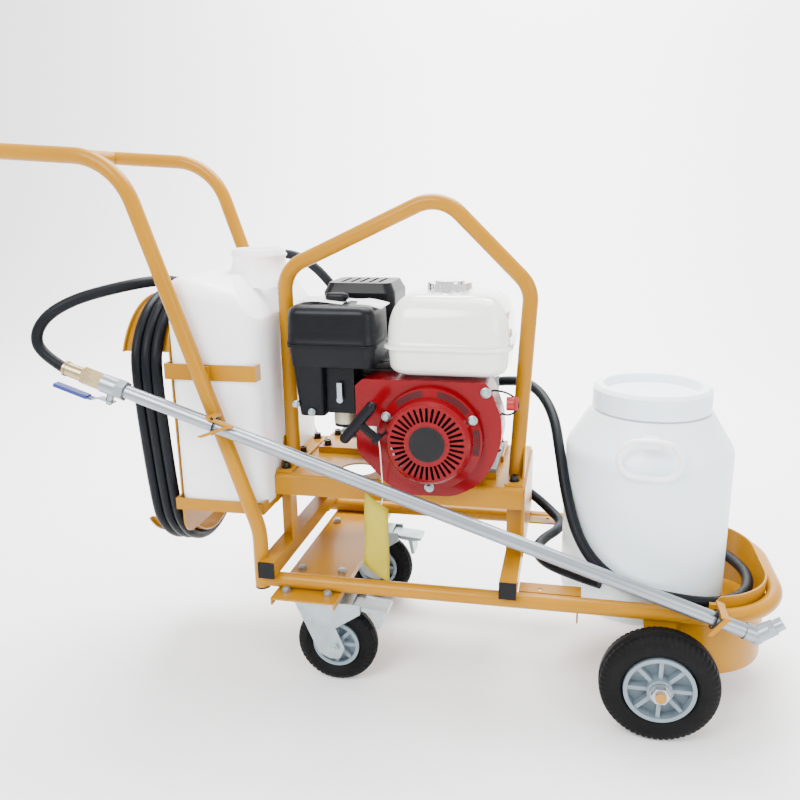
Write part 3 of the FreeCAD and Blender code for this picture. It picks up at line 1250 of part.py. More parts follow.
# ---------------------------------------------------------------- checks and export
def main():
    near_handle, grip = handle_frame()
    node(side_rails(), "side_rails")
    node(front_rail_bend(), "front_rail_bend")
    node(group(near_handle, mirrored(near_handle)), "handle_tubes")
    node(grip, "handle_grip_bar")
    node(square_tubes(), "square_tubes")
    node(tube_end_caps(), "tube_end_caps")
    node(group(*engine_deck(), *engine_strips()), "engine_deck")
    node(roll_hoop(), "roll_hoop")
    node(frame_bolts(), "frame_bolts")
    node(caster_plate(), "caster_plate")
    node(drum_supports(), "drum_supports")
    node(front_basket(), "front_basket")
    node(drum_body(), "drum_body")
    node(drum_lid(), "drum_lid")
    bail = drum_handle()
    node(around_drum(mirrored(mirrored(bail))), "drum_handle_near")
    node(around_drum(mirrored(bail)), "drum_handle_far")
    node(rear_can(), "rear_can")
    node(can_cradle(), "can_cradle")
    node(hose_rack(), "hose_rack")
    node(hose_coil(), "hose_coil")
    node(lance_pipe(), "lance_pipe")
    node(valve_body(), "valve_body")
    node(valve_lever(), "valve_lever")
    node(hose_fitting(), "hose_fitting")
    node(lance_nozzle(), "lance_nozzle")
    node(lance_hooks(), "lance_hooks")
    node(front_axle(), "front_axle")
    node(caster_tops(), "caster_tops")
    for side, name in ((-1, "near"), (1, "far")):
        y = "%d * wheel_y" % side
        node(wheel_centre("wheel_w", "rim_r", "19", "axle_d / 2 + running_play",
                          "wheel_x", y, "wheel_r"), "front_hub_" + name)
        node(tyre("wheel_w", "wheel_r", "rim_r", "wheel_x", y, "wheel_r", "17"),
             "front_tyre_" + name)
        y = "%d * swivel_y" % side
        node(wheel_centre("caster_w", "caster_hub_r", "13", "caster_axle_d / 2 + running_play",
                          HUB_X, y, "caster_r"), "caster_hub_" + name)
        node(tyre("caster_w", "caster_r", "caster_hub_r", HUB_X, y, "caster_r", "13"),
             "caster_tyre_" + name)
    for build, name in ((caster_fork, "caster_fork_"), (brake_pedal, "brake_pedal_")):
        near = build()
        far = mirrored(near)
        node(near, name + "near")
        node(far, name + "far")
    node(crankcase(), "crankcase")
    node(cylinder_block(), "cylinder_block")
    node(fan_shroud(), "fan_shroud")
    node(recoil_cover(), "recoil_cover")
    node(crankshaft_flywheel(), "crankshaft_flywheel")
    node(fuel_tank(), "fuel_tank")
    node(fuel_cap(), "fuel_cap")
    node(air_cleaner_cover(), "air_cleaner_cover")
    node(air_cleaner_case(), "air_cleaner_case")
    node(carburettor(), "carburettor")
    node(muffler_guard(), "muffler_guard")
    node(starter_grip(), "starter_grip")
    node(engine_switch(), "engine_switch")
    node(choke_lever(), "choke_lever")
    node(pump_body(), "pump_body")
    node(pressure_knob(), "pressure_knob")
    node(hose("delivery_hose", DELIVERY), "delivery_hose")
    node(hose("lance_hose", LANCE_LEAD), "lance_hose")
    node(hose("return_hose", RETURN), "return_hose")
    node(hose("suction_hose", SUCTION), "suction_hose")


DELIVERY = [(-8, 182, 450), (-58, 186, 470), (-104, 194, 512), (-146, 200, 570),
            (-186, 204, 628), (-228, 206, 672), (-276, 207, 694), (-326, 205, 684),
            (-372, 194, 656), (-408, 164, 634), (-427, 118, 628), (-432, 66, 642),
            (-427, 8, 662)]
LANCE_LEAD = [(-394, 4, 661), (-392, -52, 667), (-412, -105, 669), (-457, -144, 660),
              (-502, -173, 647), (-541, -192, 624), (-562, -198, 592), (-554, -198, 563),
              (-518.2, -198, 541.8)]
RETURN = [(136, 172, 456), (180, 150, 468), (222, 100, 463), (252, 40, 434), (265, -16, 388),
          (279, -66, 326), (302, -108, 266), (338, -132, 229), (384, -145, 209),
          (446, -147, 199), (506, -138, 191), (556, -98, 186), (580, -38, 184),
          (578, 28, 183), (552, 84, 182)]
SUCTION = [(82, 184, 384), (86, 184, 330), (124, 180, 284), (172, 170, 258), (212, 160, 240),
           (250, 140, 216), (272, 112, 204.8), (266, 72, 204.8), (243, 32, 204.8),
           (230, -14, 204.8), (243, -60, 204.8), (280, -95, 204.8), (338, -127, 204.8)]


def write_parts():
    """Check every object and write each sub-part's solid."""
    doc.recompute()
    bad = [o.Name for o in doc.Objects if "Invalid" in o.State or "Error" in o.State]
    if bad:
        raise RuntimeError("objects that failed: %s" % ", ".join(bad))
    os.makedirs("parts", exist_ok=True)
    for obj in NODES:
        shape = obj.Shape
        if shape.isNull() or not shape.isValid() or not shape.Solids:
            raise RuntimeError("no valid solid: " + obj.Label)
        shape.exportStep("parts/%s.step" % obj.Label)
        print("%-24s %2d solids %10.0f mm3" % (obj.Label, len(shape.Solids), shape.Volume))


main()
write_parts()
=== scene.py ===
"""Wheeled sprayer cart: camera, light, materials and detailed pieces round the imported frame.

Metres. +X is the drum end, -Y the recoil-starter side (near), +Z up.
"""
import math
import bmesh
import bpy
from mathutils import Matrix, Vector


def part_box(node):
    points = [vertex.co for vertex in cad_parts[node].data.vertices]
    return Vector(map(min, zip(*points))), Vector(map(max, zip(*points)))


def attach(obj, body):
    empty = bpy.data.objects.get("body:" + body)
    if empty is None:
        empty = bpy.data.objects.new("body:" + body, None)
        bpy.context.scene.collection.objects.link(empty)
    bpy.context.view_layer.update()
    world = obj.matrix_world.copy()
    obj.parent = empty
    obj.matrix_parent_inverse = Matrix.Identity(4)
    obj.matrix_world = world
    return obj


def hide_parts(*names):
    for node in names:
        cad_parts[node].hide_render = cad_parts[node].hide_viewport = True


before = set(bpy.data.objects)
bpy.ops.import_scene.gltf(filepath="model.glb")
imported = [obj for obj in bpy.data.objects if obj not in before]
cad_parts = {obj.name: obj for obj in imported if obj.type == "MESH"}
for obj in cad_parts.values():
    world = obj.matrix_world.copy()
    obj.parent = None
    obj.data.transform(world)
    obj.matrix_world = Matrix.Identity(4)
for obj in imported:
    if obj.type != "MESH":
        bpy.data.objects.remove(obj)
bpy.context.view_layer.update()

MM = 0.001
HOSE_D = 0.018
RACK_TOP_Z, RACK_LOW_Z = 0.500, 0.305
COIL_TOP_R, COIL_LOW_R = 0.1413, 0.1173
COIL_FIRST_X, COIL_PITCH, COIL_TURNS = -0.430, 0.018, 3
SHAFT_Z = 0.432
BADGE_R = 0.0282
BOLT_CIRCLE_R = 0.077
CAN_ROOF = 0.679
CAN_NECK_X = -0.255
LANCE_Y = -0.198
LANCE_REAR, LANCE_FRONT = (-0.412, 0.506), (0.543, 0.184)
PAPER = 0.0006
RED = (0.15, 0.0002, 0.0030)
YELLOW = (0.34, 0.148, 0.0001)
BRIGHT_STEEL = (0.35, 0.38, 0.40)


# ---------------------------------------------------------------- camera, light and floor
def camera():
    """The view from the near side, a little ahead of the cart's middle."""
    azimuth, elevation, roll = math.radians(11.67), math.radians(15.24), -0.0106
    back = Vector((math.sin(azimuth) * math.cos(elevation),
                   -math.cos(azimuth) * math.cos(elevation), math.sin(elevation)))
    right = (-back).cross(Vector((0, 0, 1))).normalized()
    up = right.cross(-back)
    side = math.cos(roll) * right + math.sin(roll) * up
    top = -math.sin(roll) * right + math.cos(roll) * up
    data = bpy.data.cameras.new("camera")
    data.sensor_width = 36
    data.lens = 36.48
    data.shift_x, data.shift_y = -0.0139, 0.0125
    data.clip_end = 50
    view = bpy.data.objects.new("camera", data)
    turn = Matrix((side, top, back)).transposed().to_4x4()
    view.matrix_world = Matrix.Translation((0.2834, -1.3305, 0.8111)) @ turn
    bpy.context.scene.collection.objects.link(view)
    bpy.context.scene.camera = view


def area_light(name, place, target, size, power):
    """A round lamp at a place, turned towards its target."""
    data = bpy.data.lights.new(name, "AREA")
    data.shape = "DISK"
    data.size = size
    data.energy = power
    lamp = bpy.data.objects.new(name, data)
    lamp.location = place
    lamp.rotation_euler = (Vector(target) - Vector(place)).to_track_quat("-Z", "Y").to_euler()
    bpy.context.scene.collection.objects.link(lamp)


def studio():
    """Even white light, four lamps and a pale floor that curves up behind the cart."""
    world = bpy.data.worlds.new("studio")
    bpy.context.scene.world = world
    world.use_nodes = True
    shade = world.node_tree.nodes["Background"]
    shade.inputs["Color"].default_value = (1, 1, 1, 1)
    shade.inputs["Strength"].default_value = 1.6
    area_light("key", (-0.9, -2.4, 2.6), (0, 0, 0.3), 1.6, 120)
    area_light("fill", (2.2, -1.8, 1.3), (0.1, 0, 0.3), 1.6, 40)
    area_light("top", (0.2, 0.6, 2.6), (0, 0, 0.3), 2.0, 90)
    area_light("backdrop", (0, 1.6, 3.2), (0, 3.4, 0.6), 2.5, 420)
    mesh = bpy.data.meshes.new("floor")
    profile = [(-8.0, 0.0)]
    profile += [(2.2 + 1.6 * math.sin(a), 1.6 - 1.6 * math.cos(a))
                for a in (math.radians(90 * i / 16) for i in range(17))]
    profile += [(3.8, 7.0)]
    points = [(x, y, z) for y, z in profile for x in (-9, 9)]
    faces = [(2 * i, 2 * i + 1, 2 * i + 3, 2 * i + 2) for i in range(len(profile) - 1)]
    mesh.from_pydata(points, [], faces)
    for face in mesh.polygons:
        face.use_smooth = True
    floor = bpy.data.objects.new("floor", mesh)
    bpy.context.scene.collection.objects.link(floor)
    floor.data.materials.append(new_material("floor_paint", (0.93, 0.93, 0.93), 0.9)[0])


# ---------------------------------------------------------------- materials
MATERIALS = {}


def new_material(name, colour, roughness, metallic=0.0, **sockets):
    """A material whose shader holds its plain values; the keyword names are socket names."""
    material = bpy.data.materials.new(name)
    material.use_nodes = True
    nodes, links = material.node_tree.nodes, material.node_tree.links
    shader = nodes["Principled BSDF"]
    shader.inputs["Base Color"].default_value = (*colour, 1)
    shader.inputs["Roughness"].default_value = roughness
    shader.inputs["Metallic"].default_value = metallic
    for socket, value in sockets.items():
        shader.inputs[socket.replace("_", " ")].default_value = value
    MATERIALS[name] = material
    return material, nodes, links, shader


def noise(nodes, links, scale, detail):
    """A noise texture over the object's own coordinates."""
    place = nodes.new("ShaderNodeTexCoord")
    texture = nodes.new("ShaderNodeTexNoise")
    texture.inputs["Scale"].default_value = scale
    texture.inputs["Detail"].default_value = detail
    links.new(place.outputs["Object"], texture.inputs["Vector"])
    return texture


def ramp(nodes, links, source, stops):
    """A colour ramp over a factor; stops are (place, colour)."""
    made = nodes.new("ShaderNodeValToRGB")
    elements = made.color_ramp.elements
    while len(elements) < len(stops):
        elements.new(0.5)
    for element, (at, colour) in zip(elements, stops):
        element.position = at
        element.color = (*colour, 1)
    links.new(source, made.inputs["Fac"])
    return made.outputs["Color"]


def spread(nodes, links, source, low, high):
    """A factor mapped to a range."""
    made = nodes.new("ShaderNodeMapRange")
    made.inputs["To Min"].default_value = low
    made.inputs["To Max"].default_value = high
    links.new(source, made.inputs["Value"])
    return made.outputs["Result"]


def bump(nodes, links, shader, source, strength, distance):
    """A bump under the shader's normal."""
    made = nodes.new("ShaderNodeBump")
    made.inputs["Strength"].default_value = strength
    made.inputs["Distance"].default_value = distance
    links.new(source, made.inputs["Height"])
    links.new(made.outputs["Normal"], shader.inputs["Normal"])


def varied(name, colour, roughness, metallic=0.0, tone=0.10, scale=9, grain=None, **sockets):
    """A material with cloudy tone, uneven gloss and a fine surface grain.

    grain is (scale, strength, distance) of the bump.
    """
    material, nodes, links, shader = new_material(name, colour, roughness, metallic, **sockets)
    cloud = noise(nodes, links, scale, 5)
    dark = tuple(c * (1 - tone) for c in colour)
    light = tuple(min(1, c * (1 + tone)) for c in colour)
    links.new(ramp(nodes, links, cloud.outputs["Fac"], [(0.32, dark), (0.68, light)]),
              shader.inputs["Base Color"])
    patch = noise(nodes, links, scale * 3.1, 3)
    links.new(spread(nodes, links, patch.outputs["Fac"], roughness - 0.06, roughness + 0.06),
              shader.inputs["Roughness"])
    if grain:
        fine = noise(nodes, links, grain[0], 3)
        bump(nodes, links, shader, fine.outputs["Fac"], grain[1], grain[2])


def two_tone(name, low_colour, high_colour, axis, limit, roughness, metallics):
    """A material that changes colour and metal past a limit along one axis of the object."""
    material, nodes, links, shader = new_material(name, low_colour, roughness)
    place = nodes.new("ShaderNodeTexCoord")
    split = nodes.new("ShaderNodeSeparateXYZ")
    links.new(place.outputs["Object"], split.inputs["Vector"])
    past = nodes.new("ShaderNodeMath")
    past.operation = "GREATER_THAN"
    past.inputs[1].default_value = limit
    links.new(split.outputs[axis], past.inputs[0])
    links.new(ramp(nodes, links, past.outputs["Value"], [(0.4, low_colour), (0.6, high_colour)]),
              shader.inputs["Base Color"])
    links.new(spread(nodes, links, past.outputs["Value"], *metallics), shader.inputs["Metallic"])
    fine = noise(nodes, links, 420, 3)
    bump(nodes, links, shader, fine.outputs["Fac"], 0.12, 0.0003)


def badge_paint():
    """Red paint with a plain black disc inside the raised badge's edge."""
    material, nodes, links, shader = new_material("badge_paint", RED, 0.24, Coat_Weight=0.16,
                                                  Coat_Roughness=0.06,
                                                  Specular_IOR_Level=0.10)
    low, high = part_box("recoil_cover")
    centre = ((low.x + high.x) / 2, low.y, SHAFT_Z)
    place = nodes.new("ShaderNodeTexCoord")
    reach = nodes.new("ShaderNodeVectorMath")
    reach.operation = "DISTANCE"
    reach.inputs[1].default_value = centre
    links.new(place.outputs["Object"], reach.inputs[0])
    inside = nodes.new("ShaderNodeMath")
    inside.operation = "GREATER_THAN"
    inside.inputs[1].default_value = BADGE_R
    links.new(reach.outputs["Value"], inside.inputs[0])
    links.new(ramp(nodes, links, inside.outputs["Value"], [(0.4, (0.004, 0.004, 0.005)),
                                                          (0.6, RED)]),
              shader.inputs["Base Color"])
    patch = noise(nodes, links, 30, 3)
    links.new(spread(nodes, links, patch.outputs["Fac"], 0.18, 0.32), shader.inputs["Roughness"])


def lined_card(name, colour, ink, rows):
    """A card with faint printed-looking bands across it, and no lettering."""
    material, nodes, links, shader = new_material(name, colour, 0.6)
    place = nodes.new("ShaderNodeTexCoord")
    wave = nodes.new("ShaderNodeTexWave")
    wave.wave_type = "BANDS"
    wave.bands_direction = "Z"
    wave.inputs["Scale"].default_value = rows
    wave.inputs["Distortion"].default_value = 0.6
    links.new(place.outputs["Object"], wave.inputs["Vector"])
    links.new(ramp(nodes, links, wave.outputs["Fac"], [(0.25, ink), (0.5, colour)]),
              shader.inputs["Base Color"])
    fine = noise(nodes, links, 700, 2)
    bump(nodes, links, shader, fine.outputs["Fac"], 0.08, 0.0002)


def make_materials():
    """Every material of the cart, under its name in MATERIALS."""
    varied("yellow_paint", YELLOW, 0.33, tone=0.08, scale=7, grain=(160, 0.12, 0.0006),
           Specular_IOR_Level=0.14, Coat_Weight=0.10, Coat_Roughness=0.12)
    varied("red_paint", RED, 0.24, tone=0.06, scale=11, grain=(210, 0.05, 0.0004),
           Specular_IOR_Level=0.10, Coat_Weight=0.16, Coat_Roughness=0.06)
    varied("white_paint", (0.84, 0.84, 0.80), 0.16, tone=0.02, scale=8,
           grain=(120, 0.03, 0.0004), Coat_Weight=0.6, Coat_Roughness=0.05)
    varied("blown_plastic", (0.92, 0.92, 0.96), 0.36, tone=0.03, scale=5,
           grain=(30, 0.20, 0.0014), Subsurface_Weight=0.35, Subsurface_Scale=0.02)
    varied("black_plastic", (0.0022, 0.0026, 0.0040), 0.36, tone=0.25, scale=15,
           grain=(900, 0.25, 0.0003), Specular_IOR_Level=0.16)
    varied("grey_plastic", (0.155, 0.20, 0.235), 0.44, tone=0.07, scale=14,
           grain=(500, 0.12, 0.0003))
    varied("tyre_rubber", (0.0022, 0.0022, 0.0026), 0.62, tone=0.3, scale=22,
           grain=(420, 0.35, 0.0006), Specular_IOR_Level=0.12)
    varied("hose_rubber", (0.0016, 0.0028, 0.0050), 0.48, tone=0.25, scale=26,
           grain=(320, 0.30, 0.0006), Specular_IOR_Level=0.16)
    varied("zinc_plate", (0.33, 0.38, 0.40), 0.34, 0.92, tone=0.14, scale=34,
           grain=(260, 0.12, 0.0003))
    varied("lance_alloy", (0.28, 0.31, 0.34), 0.36, 0.88, tone=0.07, scale=16,
           grain=(520, 0.14, 0.0002))
    varied("chromate", (0.42, 0.33, 0.18), 0.28, 0.9, tone=0.25, scale=45,
           grain=(300, 0.08, 0.0002))
    varied("chrome", (0.80, 0.81, 0.82), 0.10, 1.0, tone=0.03, scale=20)
    varied("cast_alloy", (0.15, 0.155, 0.16), 0.52, 0.75, tone=0.16, scale=24,
           grain=(420, 0.5, 0.0007))
    varied("dark_iron", (0.004, 0.004, 0.005), 0.5, 0.6, tone=0.2, scale=24,
           grain=(300, 0.3, 0.0005))
    varied("red_knob", (0.30, 0.0010, 0.002), 0.30, tone=0.05, scale=30,
           grain=(400, 0.08, 0.0003))
    varied("bowl_metal", (0.40, 0.38, 0.28), 0.36, 0.5, tone=0.1, scale=60,
           grain=(300, 0.1, 0.0003))
    varied("white_card", (0.82, 0.82, 0.80), 0.4, tone=0.03, scale=30, grain=(600, 0.08, 0.0002))
    varied("cotton_string", (0.78, 0.76, 0.72), 0.85, tone=0.08, scale=90,
           grain=(900, 0.4, 0.0004))
    lined_card("tag_card", (0.46, 0.38, 0.012), (0.38, 0.31, 0.010), 90)
    lined_card("label_print", (0.62, 0.60, 0.54), (0.40, 0.22, 0.06), 140)
    two_tone("frame_screws", BRIGHT_STEEL, (0.003, 0.003, 0.004), "Z", 0.30, 0.38, (0.9, 0.25))
    two_tone("valve_handle", (0.004, 0.02, 0.17), BRIGHT_STEEL, "X", -0.4705, 0.34, (0.0, 0.9))
    axle_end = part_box("front_axle")[0].y + 0.004
    two_tone("axle_steel", YELLOW, BRIGHT_STEEL, "Y", axle_end, 0.34, (0.0, 0.9))
    badge_paint()


NODE_MATERIAL = {
    "yellow_paint": ["side_rails", "front_rail_bend", "handle_tubes", "handle_grip_bar",
                     "square_tubes", "engine_deck", "roll_hoop", "caster_plate",
                     "drum_supports", "front_basket", "can_cradle", "hose_rack",
                     "lance_hooks"],
    "black_plastic": ["tube_end_caps", "air_cleaner_cover", "air_cleaner_case",
                      "muffler_guard", "starter_grip", "pressure_knob", "carburettor"],
    "zinc_plate": ["caster_tops", "caster_fork_near", "caster_fork_far",
                   "brake_pedal_near", "brake_pedal_far", "choke_lever"],
    "frame_screws": ["frame_bolts"],
    "valve_handle": ["valve_lever"],
    "axle_steel": ["front_axle"],
    "blown_plastic": ["drum_body", "drum_lid", "drum_handle_near", "drum_handle_far",
                      "rear_can"],
    "lance_alloy": ["lance_pipe", "valve_body", "lance_nozzle"],
    "chromate": ["hose_fitting"],
    "grey_plastic": ["front_hub_near", "front_hub_far", "caster_hub_near", "caster_hub_far"],
    "tyre_rubber": ["front_tyre_near", "front_tyre_far", "caster_tyre_near",
                    "caster_tyre_far"],
    "cast_alloy": ["crankcase", "cylinder_block", "pump_body"],
    "red_paint": ["fan_shroud"],
    "badge_paint": ["recoil_cover"],
    "dark_iron": ["crankshaft_flywheel"],
    "white_paint": ["fuel_tank"],
    "chrome": ["fuel_cap"],
    "red_knob": ["engine_switch"],
}


def dress_nodes():
    """Give every carried-over CAD node its material."""
    for name, nodes in NODE_MATERIAL.items():
        for node in nodes:
            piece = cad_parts[node]
            for slot in piece.material_slots:
                slot.material = MATERIALS[name]


# ---------------------------------------------------------------- mesh helpers
def piece_from(bm, name, material, body="cart", smooth=True):
    """A riding piece made from a bmesh, with smooth faces unless told otherwise."""
    bmesh.ops.recalc_face_normals(bm, faces=bm.faces)
    mesh = bpy.data.meshes.new(name)
    bm.to_mesh(mesh)
    bm.free()
    for face in mesh.polygons:
        face.use_smooth = smooth
    piece = bpy.data.objects.new(name, mesh)
    bpy.context.scene.collection.objects.link(piece)
    piece.data.materials.append(MATERIALS[material])
    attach(piece, body)
    return piece


def join_rings(bm, rings, capped=False):
    """Faces between each ring of points and the next, and over both ends if asked."""
    for lower, upper in zip(rings, rings[1:]):
        for i in range(len(lower)):
            j = (i + 1) % len(lower)
            bm.faces.new((lower[i], lower[j], upper[j], upper[i]))
    if capped:
        bm.faces.new(list(reversed(rings[0])))
        bm.faces.new(rings[-1])


def join_strips(bm, rows):
    """Faces between each row of points and the next, open at both sides."""
    for one, two in zip(rows, rows[1:]):
        for i in range(len(one) - 1):
            bm.faces.new((one[i], one[i + 1], two[i + 1], two[i]))


def thicken(piece, thickness):
    piece.modifiers.new("thickness", "SOLIDIFY").thickness = thickness


def spline_curve(name, points, radius, material, body="cart"):
    """A round bar along a smooth open curve of the given points."""
    data = bpy.data.curves.new(name, "CURVE")
    data.dimensions = "3D"
    data.bevel_depth = radius
    data.bevel_resolution = 5
    data.resolution_u = 8
    data.use_fill_caps = True
    line = data.splines.new("NURBS")
    line.points.add(len(points) - 1)
    for place, point in zip(line.points, points):
        place.co = (*point, 1)
    line.order_u = 3
    line.use_endpoint_u = True
    piece = bpy.data.objects.new(name, data)
    bpy.context.scene.collection.objects.link(piece)
    data.materials.append(MATERIALS[material])
    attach(piece, body)
    return piece


def in_mm(points):
    """Points given in millimetres, in metres."""
    return [tuple(c * MM for c in point) for point in points]


# ---------------------------------------------------------------- hoses
PUMP_TO_RACK = in_mm([(-8, 182, 450), (-58, 186, 470), (-104, 194, 512), (-146, 200, 570),
                      (-186, 204, 628), (-228, 206, 672), (-276, 207, 694), (-326, 205, 684),
                      (-372, 194, 656), (-408, 164, 634), (-427, 118, 628), (-432, 66, 642),
                      (-427, 8, 662)])
RACK_TO_LANCE = in_mm([(-394, 4, 661), (-392, -52, 667), (-412, -105, 669), (-457, -144, 660),
                       (-502, -173, 647), (-541, -192, 624), (-562, -198, 592),
                       (-554, -198, 563), (-518.2, -198, 541.8)])
RETURN = in_mm([(136, 172, 456), (180, 150, 468), (222, 100, 463), (252, 40, 434),
                (265, -16, 388), (279, -66, 326), (302, -108, 266), (338, -132, 229),
                (384, -145, 209), (446, -147, 199), (506, -138, 191), (556, -98, 186),
                (580, -38, 184), (578, 28, 183), (552, 84, 182)])
SUCTION = in_mm([(82, 184, 384), (86, 184, 330), (124, 180, 284), (172, 170, 258),
                 (212, 160, 240), (250, 140, 216), (272, 112, 204.8), (266, 72, 204.8),
                 (243, 32, 204.8), (230, -14, 204.8), (243, -60, 204.8), (280, -95, 204.8),
                 (338, -127, 204.8)])


def coil_turns():
    """Points of the turns round both saddles, from the top down the near side and round."""
    arc_points = 8
    points = []
    step = COIL_PITCH / (2 * arc_points)
    slack = 1.012
    x = COIL_FIRST_X
    for _ in range(COIL_TURNS):
        for i in range(2 * arc_points):
            upper = i < arc_points // 2 or i >= 2 * arc_points - arc_points // 2
            angle = math.pi / 2 + 2 * math.pi * (i + 0.5) / (2 * arc_points)
            radius = COIL_TOP_R if upper else COIL_LOW_R
            centre = RACK_TOP_Z if upper else RACK_LOW_Z
            points.append((x, math.cos(angle) * radius * slack,
                           centre + math.sin(angle) * radius * slack))
            x += step
    return points


def hoses():
    """The three free hoses, each a round cord along part.py's route."""
    route = PUMP_TO_RACK[:-1] + coil_turns() + RACK_TO_LANCE[1:]
    delivery = spline_curve("delivery_line", route, HOSE_D / 2, "hose_rubber")
    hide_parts("delivery_hose", "hose_coil", "lance_hose")
    back = spline_curve("return_line", RETURN, HOSE_D / 2, "hose_rubber")
    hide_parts("return_hose")
    feed = spline_curve("suction_line", SUCTION, HOSE_D / 2, "hose_rubber")
    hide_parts("suction_hose")


# ---------------------------------------------------------------- soft moulded forms
def rounded_ring(x0, x1, y0, y1, radius, corner_points=9):
    """Points round a rectangle with round corners, anticlockwise from above."""
    ring = []
    for cx, cy, start in ((x1 - radius, y1 - radius, 0), (x0 + radius, y1 - radius, 90),
                          (x0 + radius, y0 + radius, 180), (x1 - radius, y0 + radius, 270)):
        for i in range(corner_points):
            angle = math.radians(start + 90 * i / (corner_points - 1))
            ring.append((cx + radius * math.cos(angle), cy + radius * math.sin(angle)))
    return ring


def stacked(levels, top=None):
    """A closed skin over rings; a level is (x0, x1, y0, y1, radius, z) and top moves its points.

    top gets x, y and z and returns the height that the point really has.
    """
    bm = bmesh.new()
    rings = []
    for x0, x1, y0, y1, radius, z in levels:
        ring = rounded_ring(x0, x1, y0, y1, radius)
        rings.append([bm.verts.new((x, y, top(x, y, z) if top else z)) for x, y in ring])
    join_rings(bm, rings, capped=True)
    return bm


def inset_levels(box_xy, corner, steps):
    """Levels from one rectangle, each moved inwards: steps are (inset, z)."""
    x0, x1, y0, y1 = box_xy
    made = []
    for inset, z in steps:
        made.append((x0 + inset, x1 - inset, y0 + inset, y1 - inset,
                     max(0.003, corner - inset * 0.45), z))
    return made


def fuel_tank():
    """The tank as two smooth pressings with a rolled seam between them."""
    low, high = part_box("fuel_tank")
    outline = (low.x, high.x, low.y, high.y)
    seam, floor, roof = low.z + 0.046, low.z, low.z + 0.128
    steps = [(0.070, floor), (0.034, floor), (0.020, floor + 0.002), (0.012, floor + 0.007),
             (0.008, floor + 0.014), (0.0055, seam - 0.004), (0.005, seam - 0.0025)]
    steps += [(0.0005, seam - 0.0024), (0.0, seam - 0.0012), (0.0, seam + 0.0012),
              (0.0005, seam + 0.0024), (0.005, seam + 0.0028)]
    for i in range(1, 15):
        share = i / 14
        steps.append((0.0055 + 0.046 * (1 - math.cos(share * math.pi / 2)) ** 1.25,
                      seam + 0.003 + (roof - seam - 0.003) * math.sin(share * math.pi / 2) ** 0.9))
    steps += [(0.062, roof + 0.0012), (0.080, roof + 0.002)]
    tank = piece_from(stacked(inset_levels(outline, 0.034, steps)), "tank_shell", "white_paint")
    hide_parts("fuel_tank")


def air_cleaner():
    """The cleaner's smooth cover with a rolled lower edge, its wing knob and a blank card."""
    low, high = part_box("air_cleaner_cover")
    outline = (low.x, high.x, low.y, high.y)
    roof = low.z + 0.060
    steps = [(0.012, low.z), (-0.0005, low.z), (-0.0012, low.z + 0.002), (0.0, low.z + 0.004),
             (0.0006, low.z + 0.020), (0.0012, low.z + 0.040)]
    for i in range(1, 9):
        angle = math.radians(90 * i / 8)
        steps.append((0.0012 + 0.015 * (1 - math.cos(angle)),
                      roof - 0.016 + 0.016 * math.sin(angle)))
    steps += [(0.026, roof + 0.001), (0.045, roof + 0.0016)]
    cover = piece_from(stacked(inset_levels(outline, 0.020, steps)), "cleaner_cover",
                       "black_plastic")
    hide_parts("air_cleaner_cover")
    centre = Vector(((low.x + high.x) / 2, (low.y + high.y) / 2, roof))
    piece_from(stacked(inset_levels(
        (centre.x - 0.019, centre.x + 0.019, centre.y - 0.009, centre.y + 0.009), 0.0088,
        [(0.006, roof), (0.004, roof + 0.004), (0.0, roof + 0.006), (-0.0005, roof + 0.010),
         (0.0015, roof + 0.0145), (0.004, roof + 0.0155)])), "cleaner_knob", "black_plastic")
    card = bmesh.new()
    strips = 12
    rows = []
    for i in range(strips + 1):
        x = low.x + 0.012 + (high.x - low.x - 0.006) * i / strips
        z = roof + 0.0035 + 0.0022 * math.sin(2.4 * math.pi * i / strips)
        z -= 0.010 * max(0.0, i / strips - 0.78) / 0.22
        rows.append([card.verts.new((x, centre.y + side * 0.030 + 0.004, z + 0.0006 * side))
                     for side in (-1, 1)])
    join_strips(card, rows)
    thicken(piece_from(card, "cleaner_card", "white_card"), PAPER)


def can_height(x, y, z):
    """The can's real height at a point of its skin: two lobes, a ridge and a front slope."""
    roof = CAN_ROOF
    if z < roof - 0.075:
        return z
    slope_start, front = -0.268, -0.215
    drop = 0.0
    if x > slope_start:
        drop = 0.056 * ((x - slope_start) / (front - slope_start)) ** 1.15
    groove = 0.016 * math.exp(-((abs(y) - 0.062) / 0.016) ** 2)
    ridge = 0.013 * math.exp(-(y / 0.030) ** 4) * (1 if x < -0.29 else math.exp(
        -((x + 0.29) / 0.02) ** 2))
    share = min(1.0, (z - roof + 0.075) / 0.075)
    return z - share * (drop + groove - ridge)


